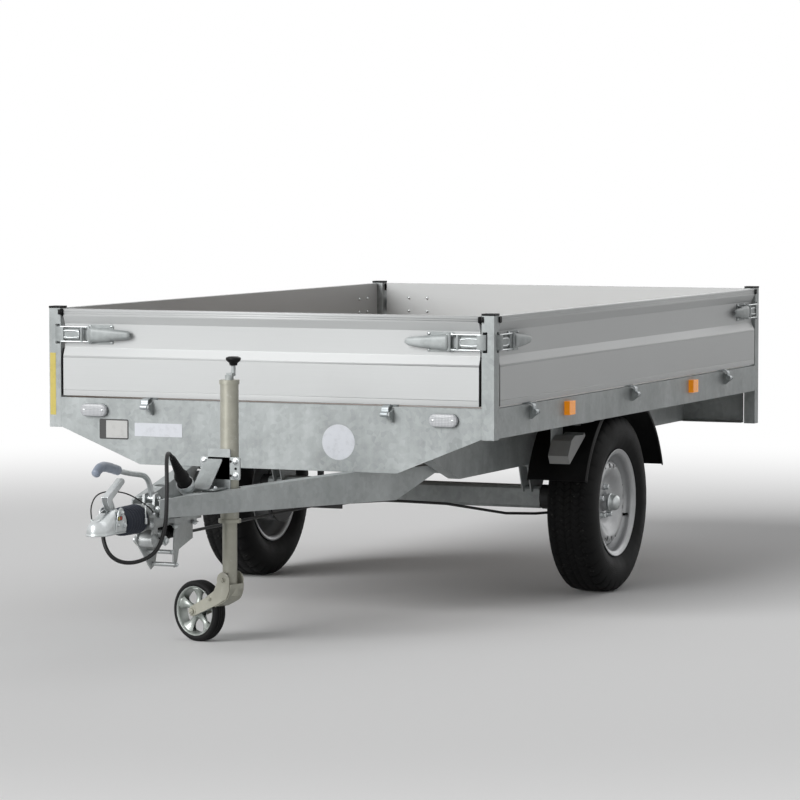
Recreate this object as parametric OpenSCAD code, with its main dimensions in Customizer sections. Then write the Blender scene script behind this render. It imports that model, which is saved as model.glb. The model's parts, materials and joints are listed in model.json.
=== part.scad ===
// High-bed trailer with drop-down boards, an overrun coupling and a jockey wheel.
// X points forward to the coupling, Y to the left and Z up from the ground.

/* [Bed] */
// length of the bed over its front and rear plates
bed_l = 2830; // [2400:10:3600]
// width of the bed over its side rails
bed_w = 1660; // [1560:10:2000]
// height of the floor's top above the ground
floor_z = 750; // [740:5:850]
// thickness of the plywood floor
floor_t = 15; // [12:1:18]
// height of the drop boards
board_h = 300; // [250:10:400]
// thickness of the drop boards
board_t = 25; // [22:1:30]
// width of the square corner posts
post_s = 45; // [42:1:60]
// height of the side rails
side_rail_h = 100; // [90:5:120]
// distance from a board's face out to its hinge pin
hinge_out = 28; // [26:1:34]

/* [Drawbar] */
// reach of the coupling's tip ahead of the bed
reach = 1255; // [1180:5:1500]
// height of the longitudinal rails
long_rail_h = 180; // [160:5:200]
// height of the overrun shaft above the ground
shaft_z = 445; // [430:5:460]
// largest radius of the rubber bellows
bellows_r = 47; // [40:1:52]

/* [Axle and wheels] */
// distance from the bed's front to the wheel centres
axle_set = 1365; // [1300:5:1700]
// distance from the bed's side in to the tyre centres
wheel_in = 140; // [125:5:170]
// outer radius of the tyres
tyre_r = 325; // [310:1:335]
// width of the tyres
tyre_w = 185; // [165:5:195]
// radius of the rim flanges
rim_r = 195; // [185:1:205]
// inner radius of the mudguards
guard_r = 440; // [420:5:442]

/* [Jockey wheel] */
// distance from the coupling's tip back to the jockey tube
jockey_back = 735; // [715:5:775]
// distance from the left beam in to the jockey tube's middle
jockey_in = 52; // [48:1:60]
// radius of the jockey wheel
jockey_r = 100; // [90:1:110]
// radius of the sliding inner tube
inner_r = 24; // [20:1:26]
// turn of the jockey wheel's trail about its tube
trail_turn = -108; // [-180:1:180]

/* [Hidden] */
$fn = 48;
fit = 0.1;
eye_r = 9;
pin_r = 5;
skin = 3;
xf = (bed_l + hinge_out + eye_r - reach) / 2;
hw = bed_w / 2;
rail_top = floor_z + 2;
rail_bot = rail_top - side_rail_h;
cm_z0 = rail_bot + skin;
cm_z1 = floor_z - floor_t;
lr_z0 = cm_z0 - long_rail_h;
beam_top = lr_z0 + 53;
beam_bot = beam_top - 108;
board_z = floor_z + 8;
post_top = board_z + board_h + 2;
hinge_z = floor_z - 23;
gap = 10;
latch_z = board_z + 0.71 * board_h;
slot_in = 12;
len_f = bed_w - 2 * post_s - 2 * gap;
len_s = bed_l - 2 * post_s - 2 * gap;
hinge_y = 0.27 * bed_w;
beam_x = reach - 364;
brake_x = reach - 425;
flange_x = reach - 298;
beam_y = 50.8;
root_x = -0.165 * bed_l;
lr_y = hw - wheel_in - 214;
slope = (lr_y - beam_y) / (beam_x - root_x);
beam_a = atan(slope);
beam_l = (beam_x - root_x) / cos(beam_a);
axle_x = -axle_set + 165;
axle_z = tyre_r + 28;
wy = hw - wheel_in;
arm_in = 148;
eq_x = axle_x + 730;
chock_x = guard_r - axle_set - 5;
guard_z = cm_z1 - 6 - 4 - guard_r;
hub_y = wy + 22;
head_x = reach - 36;
head_z = shaft_z - 13;
trail = 138;
tube_r = inner_r + 6;
tube_z0 = 398;
tube_z1 = 856;
jt_x = reach - jockey_back;
jockey_y = beam_in(jt_x) - jockey_in;
side_pos = [0.108 * bed_l, 0.466 * bed_l, 0.84 * bed_l];

function beam_in(x) = beam_y + slope * (beam_x - x);

module at() translate([xf, 0, 0]) children();
module pair() { children(); mirror([0, 1, 0]) children(); }
module plate_x(x0, t) translate([x0, 0, 0]) rotate([90, 0, 90]) linear_extrude(height = t) children();
module plate_y(y0, t) translate([0, y0 + t, 0]) rotate([90, 0, 0]) linear_extrude(height = t) children();
module bar_y(x, y, z, l, r) translate([x, y, z]) rotate([-90, 0, 0]) cylinder(h = l, r = r);
module bar_x(x, y, z, l, r) translate([x, y, z]) rotate([0, 90, 0]) cylinder(h = l, r = r);
module box(a, b) translate(a) cube(b - a);
module rod(a, b, r) {
  v = b - a;
  l = norm(v);
  translate(a) rotate([0, acos(v[2] / l), atan2(v[1], v[0])]) cylinder(h = l, r = r);
}
// the local frame of one side of the bed: X out of the board, Y along it
module face(k) {
  if (k == 0) children();
  if (k == 1) translate([-bed_l, 0, 0]) mirror([1, 0, 0]) children();
  if (k == 2) translate([-bed_l / 2, hw, 0]) rotate(90) children();
  if (k == 3) mirror([0, 1, 0]) translate([-bed_l / 2, hw, 0]) rotate(90) children();
}
function span(k) = k < 2 ? len_f : len_s;
function hinge_at(k) = k < 2 ? [-hinge_y, hinge_y] : [for (s = side_pos) s - bed_l / 2];

// chassis
module frame_rails() color("silver") at() pair() difference() {
  plate_y(lr_y, 44) polygon([[-bed_l + skin, lr_z0], [-bed_l + skin, cm_z0],
    [root_x + 307, cm_z0], [root_x + 267, lr_z0 + 85], [root_x + 7, lr_z0]]);
  plate_y(lr_y - 1, 41) polygon([[-bed_l, lr_z0 + 4], [-bed_l, cm_z0 - 4],
    [root_x + 317, cm_z0 - 4], [root_x + 265, lr_z0 + 89], [root_x + 6, lr_z0 + 4]]);
}
module channel(x, half) difference() {
  box([x - 20, -half, cm_z0], [x + 20, half, cm_z1]);
  box([x - 17, -half - 1, cm_z0 + skin], [x + 21, half + 1, cm_z1 - skin]);
}
module cross_members() color("silver") at() {
  channel(-24, hw - post_s);
  channel(-bed_l + 24, hw - post_s);
  for (x = [-0.22 * bed_l, -axle_set + 290, -axle_set - 275, -0.8 * bed_l]) channel(x, hw - skin);
}
module side_rails() color("silver") at() pair() {
  box([-bed_l + post_s, hw - skin, rail_bot], [-post_s, hw, rail_top]);
  box([-bed_l + post_s, hw - 24, rail_bot], [-post_s, hw, rail_bot + skin]);
  box([-bed_l + post_s, hw - 30, rail_top - skin], [-post_s, hw, rail_top]);
}
module front_plate() color("silver") at() {
  plate_x(-skin, skin) polygon([[-480, beam_top], [480, beam_top], [hw - post_s, rail_bot - 2],
    [hw - post_s, rail_top], [-hw + post_s, rail_top], [-hw + post_s, rail_bot - 2]]);
  box([-28, -480, beam_top], [0, 480, beam_top + skin]);
  box([-24, -hw + post_s, rail_top - skin], [0, hw - post_s, rail_top]);
}
module rear_plate() color("silver") at() {
  box([-bed_l, -hw + post_s + 16, beam_top - 7], [-bed_l + skin, hw - post_s - 16, rail_top]);
  box([-bed_l, -hw + post_s, rail_top - 60], [-bed_l + skin, hw - post_s, rail_top]);
  difference() {
    box([-bed_l, -hw + post_s + 16, beam_top - 7], [-bed_l + 28, hw - post_s - 16, beam_top - 4]);
    pair() box([-bed_l + skin, lr_y + 39, beam_top - 8], [-bed_l + 29, lr_y + 45, beam_top - 3]);
  }
}
module bed_floor() color("burlywood") at() difference() {
  box([-bed_l + board_t + 8, -hw + board_t + 8, cm_z1], [-board_t - 8, hw - board_t - 8, floor_z]);
  for (x = [-bed_l - 1, -post_s - 3]) pair()
    box([x, hw - post_s - 3, cm_z1 - 1], [x + post_s + 4, hw + 1, floor_z + 1]);
}
module post(z0) difference() {
  box([-post_s, hw - post_s, z0], [0, hw, post_top]);
  box([-post_s + skin, hw - post_s + skin, z0 - 1], [-skin, hw - skin, post_top + 1]);
  box([-skin - 1, hw - post_s + slot_in - 8, latch_z - 34],
    [1, hw - post_s + slot_in + 8, latch_z + 34]);
  box([-post_s + slot_in - 8, hw - skin - 1, latch_z - 34],
    [-post_s + slot_in + 8, hw + 1, latch_z + 34]);
}
module corner_posts() color("silver") at() pair() {
  post(rail_bot - 4);
  translate([-bed_l, 0, 0]) mirror([1, 0, 0]) post(beam_top - 7);
}
module cap() {
  box([-post_s - 1, hw - post_s - 1, post_top], [1, hw + 1, post_top + 7]);
  box([-post_s + 4, hw - post_s + 4, post_top - 12], [-4, hw - 4, post_top]);
}
module post_caps() color("black") at() pair() {
  cap();
  translate([-bed_l, 0, 0]) mirror([1, 0, 0]) cap();
}
module bracket() {
  difference() {
    plate_y(15, 6) {
      polygon([[0, hinge_z - 27], [8, hinge_z - 27], [hinge_out + eye_r, hinge_z - 4],
        [hinge_out + eye_r, hinge_z], [hinge_out - eye_r, hinge_z + eye_r], [0, hinge_z + 20]]);
      translate([hinge_out, hinge_z]) circle(r = eye_r);
    }
  }
  bar_y(hinge_out, -16, hinge_z, 34, pin_r);
}
module hinge_brackets() color("gainsboro") at() for (k = [0 : 3], v = hinge_at(k))
  face(k) translate([0, v, 0]) bracket();

// drawbar
module beam_side(g) polygon([[0, beam_bot + 22 + g], [beam_l - 278 - g, beam_bot + g],
  [beam_l - 7, beam_top - 2 - g], [beam_l - 488, beam_top - g], [0, beam_top - 28 - g]]);
module beam() translate([beam_x, beam_y, 0]) rotate(180 - beam_a) difference() {
  plate_y(0, 46) beam_side(0);
  plate_y(4, 43) union() { beam_side(4); translate([-2, 0]) beam_side(4); }
}
module drawbar_beams() color("lightgray") at() {
  pair() difference() {
    union() {
      beam();
      box([brake_x - 210, 62, shaft_z - 2], [brake_x - 20, beam_in(brake_x) + 20, shaft_z + 22]);
    }
    box([jt_x, -62, beam_bot - 50], [brake_x, 62, beam_top + 50]);
    box([brake_x - 1, -42, beam_bot - 50], [beam_x + 60, 42, beam_top + 50]);
    translate([beam_x, beam_y, 0]) rotate(180 - beam_a) box([-90, -60, 300], [400, 0, 700]);
    translate([jt_x, jockey_y, beam_bot - 1]) cylinder(r = tube_r + 8, h = 200);
  }
  box([root_x + 7, -lr_y - 40, beam_top - 32], [root_x + 47, lr_y + 40, beam_top - 2]);
}
module overrun_housing() color("silver") at() {
  bar_x(brake_x - 240, 0, shaft_z, flange_x - brake_x + 240, 41);
  bar_x(flange_x - 14, 0, shaft_z, 14, 46);
  box([flange_x - 14, -62, shaft_z - 33], [flange_x, 62, shaft_z + 5]);
  box([brake_x - 210, -62, shaft_z - 24], [brake_x - 20, 62, shaft_z - 10]);
  box([brake_x - 210, -62, shaft_z + 8], [brake_x - 20, 62, shaft_z + 22]);
  for (x = [brake_x - 185, brake_x - 45]) pair()
    translate([x, 50, shaft_z - 34]) cylinder(h = 66, r = 7);
  pair() plate_y(14, 8) difference() {
    polygon([[brake_x - 40, shaft_z + 30], [brake_x + 44, shaft_z + 30], [brake_x + 40, shaft_z + 70],
      [brake_x + 14, shaft_z + 74], [brake_x - 10, shaft_z + 56]]);
    translate([brake_x + 20, shaft_z + 56]) circle(r = 9 + fit);
  }
}
module bellows() color("darkslategray") at() translate([flange_x, 0, shaft_z]) rotate([0, 90, 0])
  rotate_extrude() polygon(concat([[28, 0], [bellows_r - 3, 0]],
    [for (i = [0 : 6]) each [[bellows_r, 6 + i * 15], [bellows_r - 6 - i * 1.2, 13 + i * 15]]],
    [[33, 118], [28, 118]]));
module coupling_head() color("gainsboro") at() difference() {
  union() {
    translate([head_x, 0, head_z]) rotate_extrude() polygon([[0, -17], [36, -17], [36, -12],
      [33, -12], [33, 0], [31.5, 10], [27, 19.5], [20, 26.5], [10.5, 31.3], [0, 33]]);
    box([head_x - 128, -36, head_z - 17], [head_x, 36, head_z - 12]);
    plate_y(-30, 60) polygon([[head_x - 122, head_z - 14], [head_x, head_z - 17],
      [head_x, head_z + 33], [head_x - 30, head_z + 46], [head_x - 66, head_z + 62],
      [head_x - 112, head_z + 58], [head_x - 126, head_z + 36]]);
    pair() plate_y(30, 5) {
      translate([head_x - 101, head_z + 12]) circle(r = 30);
      translate([head_x - 94, head_z + 44]) circle(r = 19);
      polygon([[head_x - 128, head_z - 12], [head_x - 58, head_z - 12], [head_x - 78, head_z + 54],
        [head_x - 131, head_z + 12]]);
    }
    bar_x(flange_x + 90, 0, shaft_z, head_x - flange_x - 190, 24);
    bar_y(head_x - 112, -40, shaft_z - 6, 80, 9);
    bar_y(head_x - 96, -42, head_z + 48, 84, 7);
  }
  difference() {
    box([head_x - 130, -13, head_z + 30], [head_x - 30, 13, head_z + 80]);
    bar_y(head_x - 96, -20, head_z + 48, 40, 7);
  }
  translate([head_x, 0, head_z - 20]) cylinder(h = 20, r = 25.3);
  translate([head_x, 0, head_z]) sphere(r = 25.3);
}
module coupling_handle() color("gainsboro") at() {
  pair() plate_y(8, 3) difference() {
    union() {
      translate([head_x - 96, head_z + 48]) circle(r = 13);
      polygon([[head_x - 108, head_z + 52], [head_x - 86, head_z + 40], [head_x - 52, head_z + 82],
        [head_x - 50, head_z + 98], [head_x - 152, head_z + 150], [head_x - 164, head_z + 143],
        [head_x - 164, head_z + 134], [head_x - 82, head_z + 88]]);
    }
    translate([head_x - 96, head_z + 48]) circle(r = 7 + fit);
  }
  plate_y(-11, 22) polygon([[head_x - 54, head_z + 94], [head_x - 50, head_z + 98],
    [head_x - 152, head_z + 150], [head_x - 156, head_z + 145]]);
}
module handbrake_lever() color("whitesmoke") at() {
  cord([[brake_x + 20, 0, shaft_z + 58], [brake_x + 27, 0, shaft_z + 82],
    [brake_x + 37, 0, shaft_z + 104], [brake_x + 51, 0, shaft_z + 120],
    [brake_x + 72, 0, shaft_z + 131], [brake_x + 100, 0, shaft_z + 137],
    [brake_x + 150, 0, shaft_z + 144], [brake_x + 200, 0, shaft_z + 152],
    [brake_x + 245.4, 0, shaft_z + 160.9]], 9, 16);
  bar_y(brake_x + 20, -26, shaft_z + 56, 52, 9);
}
module handbrake_grip() color("lightsteelblue") at()
  cord([[brake_x + 246, 0, shaft_z + 161], [brake_x + 275, 0, shaft_z + 168],
    [brake_x + 305, 0, shaft_z + 175], [brake_x + 335, 0, shaft_z + 180],
    [brake_x + 362, 0, shaft_z + 180], [brake_x + 384, 0, shaft_z + 172],
    [brake_x + 402, 0, shaft_z + 158]], 15, 16);
module brake_bracket() color("darkgray") at() {
  pair() plate_y(36, 5) polygon([[brake_x - 20, shaft_z - 24], [brake_x + 44, shaft_z - 48],
    [brake_x + 60, shaft_z - 78],
    [brake_x - 46, shaft_z - 180], [brake_x - 74, shaft_z - 168], [brake_x - 90, shaft_z - 118],
    [brake_x - 190, shaft_z - 90], [brake_x - 190, shaft_z - 24]]);
  bar_y(brake_x + 26, -50, shaft_z - 78, 100, 21);
  bar_y(brake_x - 20, -50, shaft_z - 118, 100, 7);
  bar_y(brake_x - 55, -50, shaft_z - 162, 100, 7);
  bar_x(brake_x - 176, 0, shaft_z - 62, 150, 19);
  box([brake_x - 190, -36, shaft_z - 90], [brake_x - 176, 36, shaft_z - 42]);
}
module brake_rod() color("dimgray") at() {
  bar_x(eq_x, 0, shaft_z - 75, brake_x - eq_x - 190, 5);
  box([eq_x - 4, -70, shaft_z - 90], [eq_x + 8, 70, shaft_z - 60]);
  box([eq_x + 20, -10, shaft_z - 82], [eq_x + 32, 10, beam_top - 32]);
  pair() cord([[eq_x + 2, 55, shaft_z - 75], [eq_x - 90, 60, shaft_z - 76],
    [eq_x - 290, 0.17 * wy, shaft_z - 84], [eq_x - 490, 0.38 * wy, shaft_z - 108],
    [axle_x + 60, wy - 270, axle_z - 60], [axle_x - 30, wy - 190, axle_z - 66],
    [-axle_set + 60, wy - 150, axle_z - 66], [-axle_set + 40, wy - 128, axle_z - 66],
    [-axle_set + 38, wy - 115.4, axle_z - 66]], 5, 8);
}

// axle
module axle_beam() color("silver") at() {
  plate_y(arm_in - wy, 2 * (wy - arm_in)) translate([axle_x, axle_z])
    polygon([[-40, -30], [-30, -40], [30, -40], [40, -30], [40, 30], [30, 40], [-30, 40], [-40, 30]]);
  pair() {
    plate_y(lr_y + 2, 6) polygon([[axle_x - 110, lr_z0], [axle_x + 90, lr_z0],
      [axle_x + 50, axle_z + 20], [axle_x - 50, axle_z + 20]]);
    plate_y(lr_y + 34, 6) polygon([[axle_x - 110, lr_z0], [axle_x + 90, lr_z0],
      [axle_x + 50, axle_z + 20], [axle_x - 50, axle_z + 20]]);
    box([axle_x - 110, lr_y, lr_z0 - 6], [axle_x + 90, lr_y + 42, lr_z0]);
  }
}
module swing_arms() color("gray") at() pair() difference() {
  union() {
    plate_y(wy - arm_in, 34) {
      translate([axle_x, axle_z]) circle(r = 44);
      translate([-axle_set, tyre_r]) circle(r = 36);
      polygon([[axle_x, axle_z + 44], [-axle_set, tyre_r + 36], [-axle_set, tyre_r - 36],
        [axle_x, axle_z - 44]]);
    }
    bar_y(-axle_set, wy - 120, tyre_r, 136, 18);
  }
}
module brake_plates() color("dimgray") at() pair() difference() {
  union() {
    bar_y(-axle_set, wy - 114, tyre_r, 5, 122);
    bar_y(-axle_set, wy - 109, tyre_r, 9, 40);
  }
  bar_y(-axle_set, wy - 116, tyre_r, 20, 18);
}
module hub() difference() {
  union() {
    bar_y(-axle_set, wy - 94, tyre_r, 62, 116);
    bar_y(-axle_set, wy - 32, tyre_r, 54, 75);
    bar_y(-axle_set, hub_y, tyre_r, 34, 31);
  }
  bar_y(-axle_set, wy - 95, tyre_r, 113, 18 + fit);
  bar_y(-axle_set, wy - 95, tyre_r, 16, 108);
}
module hub_left() color("dimgray") at() hub();
module hub_right() color("dimgray") at() mirror([0, 1, 0]) hub();
module rim() translate([-axle_set, wy, tyre_r]) rotate([-90, 0, 0]) difference() {
  rotate_extrude() {
    polygon([[rim_r, -77], [rim_r, -73], [rim_r - 14, -70], [rim_r - 17, -48], [rim_r - 33, -30],
      [rim_r - 33, 22], [rim_r - 17, 42], [rim_r - 17, 66], [rim_r - 13, 70], [rim_r, 73],
      [rim_r, 77], [rim_r - 15, 74], [rim_r - 21, 66], [rim_r - 21, 44], [rim_r - 37, 24],
      [rim_r - 37, -31], [rim_r - 21, -50], [rim_r - 18, -73]]);
    polygon([[31.2, 22], [92, 22], [112, 40], [134, 44], [rim_r - 42, 30], [rim_r - 37, 12],
      [rim_r - 34, 12], [rim_r - 36, 34], [138, 50], [108, 46], [88, 28], [31.2, 28]]);
  }
  for (i = [0 : 3], s = [-9, 9]) rotate(i * 90 + 45 + s) {
    translate([128, 0, 20]) cylinder(h = 50, r = 9);
    translate([139, 0, 20]) cylinder(h = 50, r = 9);
  }
}
module rim_left() color("silver") at() rim();
module rim_right() color("silver") at() mirror([0, 1, 0]) rim();
module tyre() translate([-axle_set, wy, tyre_r]) rotate([-90, 0, 0]) {
  h = tyre_w / 2;
  r = tyre_r;
  rotate_extrude() polygon([[rim_r - 14, 50], [rim_r - 14, 68], [rim_r + 2, 71],
    [rim_r + 3, 78], [r - 112, h - 6], [r - 90, h - 1.5], [r - 72, h], [r - 50, h - 2.5], [r - 30, h - 8],
    [r - 17, h - 15], [r - 8, h - 23], [r - 3, h - 38], [r, h - 66], [r, -h + 66], [r - 3, -h + 38],
    [r - 8, -h + 23], [r - 17, -h + 15], [r - 30, -h + 8], [r - 50, -h + 2.5], [r - 72, -h],
    [r - 90, -h + 1.5], [r - 112, -h + 6], [rim_r + 3, -78], [rim_r + 2, -71], [rim_r - 14, -68],
    [rim_r - 14, -50], [rim_r + 4, -60], [r - 90, -h + 14], [r - 50, -h + 15], [r - 22, -h + 36],
    [r - 17, 0], [r - 22, h - 36], [r - 50, h - 15], [r - 90, h - 14], [rim_r + 4, 60]]);
}
module tyre_left() color("black") at() tyre();
module tyre_right() color("black") at() mirror([0, 1, 0]) tyre();
module mudguards() color("black") at() pair() translate([-axle_set, wy - 4, guard_z])
  rotate([90, 0, 0]) rotate(20) rotate_extrude(angle = 140, $fn = 96)
    polygon([[guard_r - 14, -112], [guard_r - 8, -114], [guard_r + 4, -110], [guard_r + 4, 110],
      [guard_r - 8, 114], [guard_r - 14, 112], [guard_r - 10, 109], [guard_r, 106], [guard_r, -106],
      [guard_r - 10, -109]]);
module mudguard_stays() color("darkgray") at() pair() for (s = [-1, 1]) {
  bar_y(-axle_set + s * 0.64 * (guard_r + 12.4), lr_y + 44, guard_z + 0.768 * (guard_r + 12.4),
    wy - lr_y - 4, 8);
}

// lamps
module lamp(l, h, t) {
  translate([0, -l / 2 + h / 2, 0]) rotate([0, 90, 0]) cylinder(h = t, r = h / 2);
  translate([0, l / 2 - h / 2, 0]) rotate([0, 90, 0]) cylinder(h = t, r = h / 2);
  translate([0, -l / 2 + h / 2, -h / 2]) cube([t, l - h, h]);
}
module front_lamps() color("white") at() pair() translate([0, 0.393 * bed_w, floor_z - 39])
  lamp(105, 45, 20);
module side_markers() color("orange") at() for (k = [2, 3], s = [0.24, 0.707]) face(k)
  translate([0, (s - 0.5) * bed_l, floor_z - 34]) translate([0, -29, -24]) cube([20, 58, 48]);
module tail_lamps() color("crimson") at() pair()
  box([-bed_l - 30, 0.36 * bed_w - 100, beam_top + 20], [-bed_l, 0.36 * bed_w + 100, beam_top + 120]);

// jockey wheel
module jockey_clamp() color("gainsboro") at() difference() {
  union() {
    box([jt_x + 32, jockey_y - 87, floor_z - 210], [jt_x + 38, jockey_y + 55, floor_z - 136]);
    box([jt_x - 46, jockey_y - 84, floor_z - 208], [jt_x - 40, jockey_y + 54, floor_z - 138]);
    for (y = [jockey_y - 76, jockey_y + 46], z = [floor_z - 196, floor_z - 150])
      bar_x(jt_x - 50, y, z, 96, 5);
    box([jt_x - 40, jockey_y - 40, floor_z - 204], [jt_x + 33, jockey_y + 38, floor_z - 142]);
    plate_y(jockey_y - 70, 62) polygon([[jt_x + 38, floor_z - 146], [jt_x + 46, floor_z - 146],
      [jt_x + 132, beam_top - 7], [jt_x + 132, beam_top - 13], [jt_x + 122, beam_top - 13],
      [jt_x + 38, floor_z - 156]]);
    plate_y(jockey_y - 52, 6) polygon([[jt_x + 38, floor_z - 160], [jt_x + 120, beam_top - 11],
      [jt_x + 38, beam_top - 11]]);
    box([jt_x + 32, jockey_y - 60, beam_top - 17], [jt_x + 38, jockey_y + 20, floor_z - 136]);
    box([jt_x + 20, jockey_y - 60, beam_top - 17], [jt_x + 132, jockey_y + 10, beam_top - 9]);
  }
  translate([jt_x, jockey_y, 300]) cylinder(h = 500, r = tube_r + fit);
}
module jockey_outer_tube() color("silver") at() translate([jt_x, jockey_y, 0]) difference() {
  union() {
    translate([0, 0, tube_z0]) cylinder(h = tube_z1 - tube_z0, r = tube_r);
    translate([0, 0, tube_z0]) cylinder(h = 12, r = tube_r + 7);
    translate([0, 0, tube_z1 - 8]) cylinder(h = 14, r = tube_r + 3);
  }
  translate([0, 0, tube_z0 - 1]) cylinder(h = tube_z1 - tube_z0 - 3, r = inner_r + fit);
}
module jockey_crank() color("gainsboro") at() translate([jt_x, jockey_y, 0]) {
  translate([0, 0, tube_z1 + 6]) cylinder(h = 16, r = 14);
  box([-20, -7, tube_z1 + 18], [8, 13, tube_z1 + 28]);
  translate([-14, 8, tube_z1 + 24]) cylinder(h = 28, r = 7);
}
module crank_knob() color("black") at() translate([jt_x - 14, jockey_y + 8, tube_z1 + 52])
  rotate_extrude() polygon([[0, 0], [12, 0], [14, 8], [22, 14], [25, 20], [24, 25], [16, 29], [0, 30]]);
module jockey_inner_tube() color("gainsboro") at() translate([jt_x, jockey_y, 0]) {
    translate([0, 0, 196.3]) cylinder(h = tube_z1 - 358, r = inner_r);
    translate([0, 0, 180]) cylinder(h = 20, r = 12 - fit);
  }
module trailing() at() translate([jt_x, jockey_y, 0]) rotate(trail_turn) children();
module jockey_fork() color("gainsboro") trailing() {
  difference() {
    union() {
      translate([0, 0, 160]) cylinder(h = 36, r = inner_r + 8);
      box([-24, -31, 162], [20, 31, 188]);
    }
    translate([0, 0, 178]) cylinder(h = 20, r = 12);
  }
  pair() plate_y(31, 5) polygon([[-30, 198], [24, 198], [36, 170], [trail + 14, 122],
    [trail + 18, 92], [trail - 4, 82], [60, 104], [-12, 136], [-34, 160]]);
  bar_y(trail, -40, jockey_r, 80, 7);
}
module jockey_rim() color("silver") trailing() translate([trail, 0, jockey_r]) rotate([-90, 0, 0])
  difference() {
    rotate_extrude() polygon([[7 + fit, -24], [16, -24], [18, -8], [64, -8], [70, -22], [81, -24],
      [81, -18], [75, -14], [75, 14], [81, 18], [81, 24], [70, 22], [64, 8], [18, 8], [16, 24],
      [7 + fit, 24]]);
    for (i = [0 : 4]) rotate(i * 72) translate([44, 0, -30]) cylinder(h = 60, r = 13);
  }
module jockey_tyre() color("black") trailing() translate([trail, 0, jockey_r]) rotate([-90, 0, 0])
  rotate_extrude() polygon([[75, -14], [81, -18], [82, -25], [jockey_r - 8, -25], [jockey_r - 3, -20],
    [jockey_r, -10], [jockey_r, 10], [jockey_r - 3, 20], [jockey_r - 8, 25], [82, 25], [81, 18],
    [75, 14]]);

// small gear
module wheel_chock() color("darkgray") at() translate([chock_x, hw - 132.8, rail_bot - 106]) rotate([0, 30, 0])
  plate_y(0, 76) polygon([[-95, 0], [85, 0], [85, 34], [30, 62], [-10, 58], [-80, 14], [-95, 14]]);
module chock_holder() color("gainsboro") at() {
  box([chock_x - 58, hw - 138.8, rail_bot - 118], [chock_x + 50, hw - 132.8, rail_bot]);
  box([chock_x - 70, hw - 140.8, rail_bot - 6], [chock_x + 50, hw - 20, rail_bot]);
}
module plug_holder() color("gainsboro") at() {
  rod([brake_x - 146, 45, shaft_z + 73], [brake_x - 130, 45, shaft_z + 89], 25);
  box([brake_x - 160, 36, shaft_z + 22], [brake_x - 132, 58, shaft_z + 76]);
}
cable_r = 6.5;
wire_r = 2.2;
cable_pts = [[797, 45, 631], [818, 47, 641], [842, 53, 641], [868, 63, 622], [893, 76, 585],
  [908, 84, 545], [918, 88, 500], [926, 90, 455], [936, 88, 410], [952, 82, 370], [975, 72, 342],
  [1005, 56, 325], [1040, 32, 316], [1072, 8, 320], [1092, -14, 336], [1098, -32, 362],
  [1088, -48, 395], [1062, -60, 425], [1022, -68, 447], [980, -74, 458], [935, -80, 462],
  [895, -88, 461], [860, -96, 460], [832, -101, 459], [813, -99, 458], [803.1, -89.3, 457],
  [800.3, -80.4, 456]];
wire_pts = [[927, 40, 461.5], [934, 47, 460], [946, 54, 467], [965, 55, 479], [985, 53, 490],
  [1004, 51, 499], [1024, 48, 509], [1044, 42, 520], [1062, 32, 530], [1074, 17, 537], [1080, 0, 540],
  [1086, -16, 541], [1100, -30, 541], [1124, -40, 537], [1148, -44, 527], [1168, -44, 510],
  [1180, -42, 490], [1186, -37, 468], [1188, -34, 450], [1188, -32.4, 438]];
module cord(p, r, n) {
  m = len(p);
  function dir(i) = let (a = p[max(i - 1, 0)], b = p[min(i + 1, m - 1)]) (b - a) / norm(b - a);
  function side(i) = let (d = dir(i), s = cross(d, [0.35, 0.94, 0.12])) s / norm(s);
  pts = [for (i = [0 : m - 1], j = [0 : n - 1]) let (s = side(i), u = cross(dir(i), s))
    p[i] + r * (cos(j * 360 / n) * s + sin(j * 360 / n) * u)];
  polyhedron(points = pts, convexity = 6, faces = concat(
    [[for (j = [0 : n - 1]) j]],
    [for (i = [0 : m - 2], j = [0 : n - 1]) [i * n + j, (i + 1) * n + j,
      (i + 1) * n + (j + 1) % n]],
    [for (i = [0 : m - 2], j = [0 : n - 1]) [i * n + j, (i + 1) * n + (j + 1) % n,
      i * n + (j + 1) % n]],
    [[for (j = [n - 1 : -1 : 0]) (m - 1) * n + j]]));
}
module electric_cable() color("black") at() cord(cable_pts, cable_r, 10);
module breakaway_cable() color("black") at() cord(wire_pts, wire_r, 8);
module plug() color("black") at() {
  rod([brake_x - 130, 45, shaft_z + 89], [brake_x - 95, 45, shaft_z + 124], 24);
  rod([brake_x - 95, 45, shaft_z + 124], [brake_x - 35, 45, shaft_z + 184], 15);
}

// drop boards
module board(k) translate([0, 0, board_z]) plate_y(-span(k) / 2, span(k)) polygon([[-board_t, 0],
  [0, 0], [0, 0.463 * board_h], [-13, 0.557 * board_h], [-13, 0.83 * board_h],
  [-2, 0.913 * board_h], [0, 0.92 * board_h], [0, board_h - 4], [-4, board_h], [-board_t, board_h]]);
module latch(k) {
  e = span(k) / 2;
  box([-13, e - 205, latch_z - 34], [-10, e - 4, latch_z + 34]);
  box([-10, e - 150, latch_z - 22], [5, e - 6, latch_z + 22]);
  box([5, e - 90, latch_z - 25], [13, e + gap + slot_in + 3, latch_z + 25]);
  box([-12, e + gap + slot_in - 3, latch_z - 25], [13, e + gap + slot_in + 3, latch_z + 25]);
  plate_x(5, 13) polygon([[e - 262, latch_z - 16], [e - 262, latch_z + 16], [e - 90, latch_z + 30],
    [e - 70, latch_z + 30], [e - 70, latch_z - 30], [e - 90, latch_z - 30]]);
}
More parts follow.
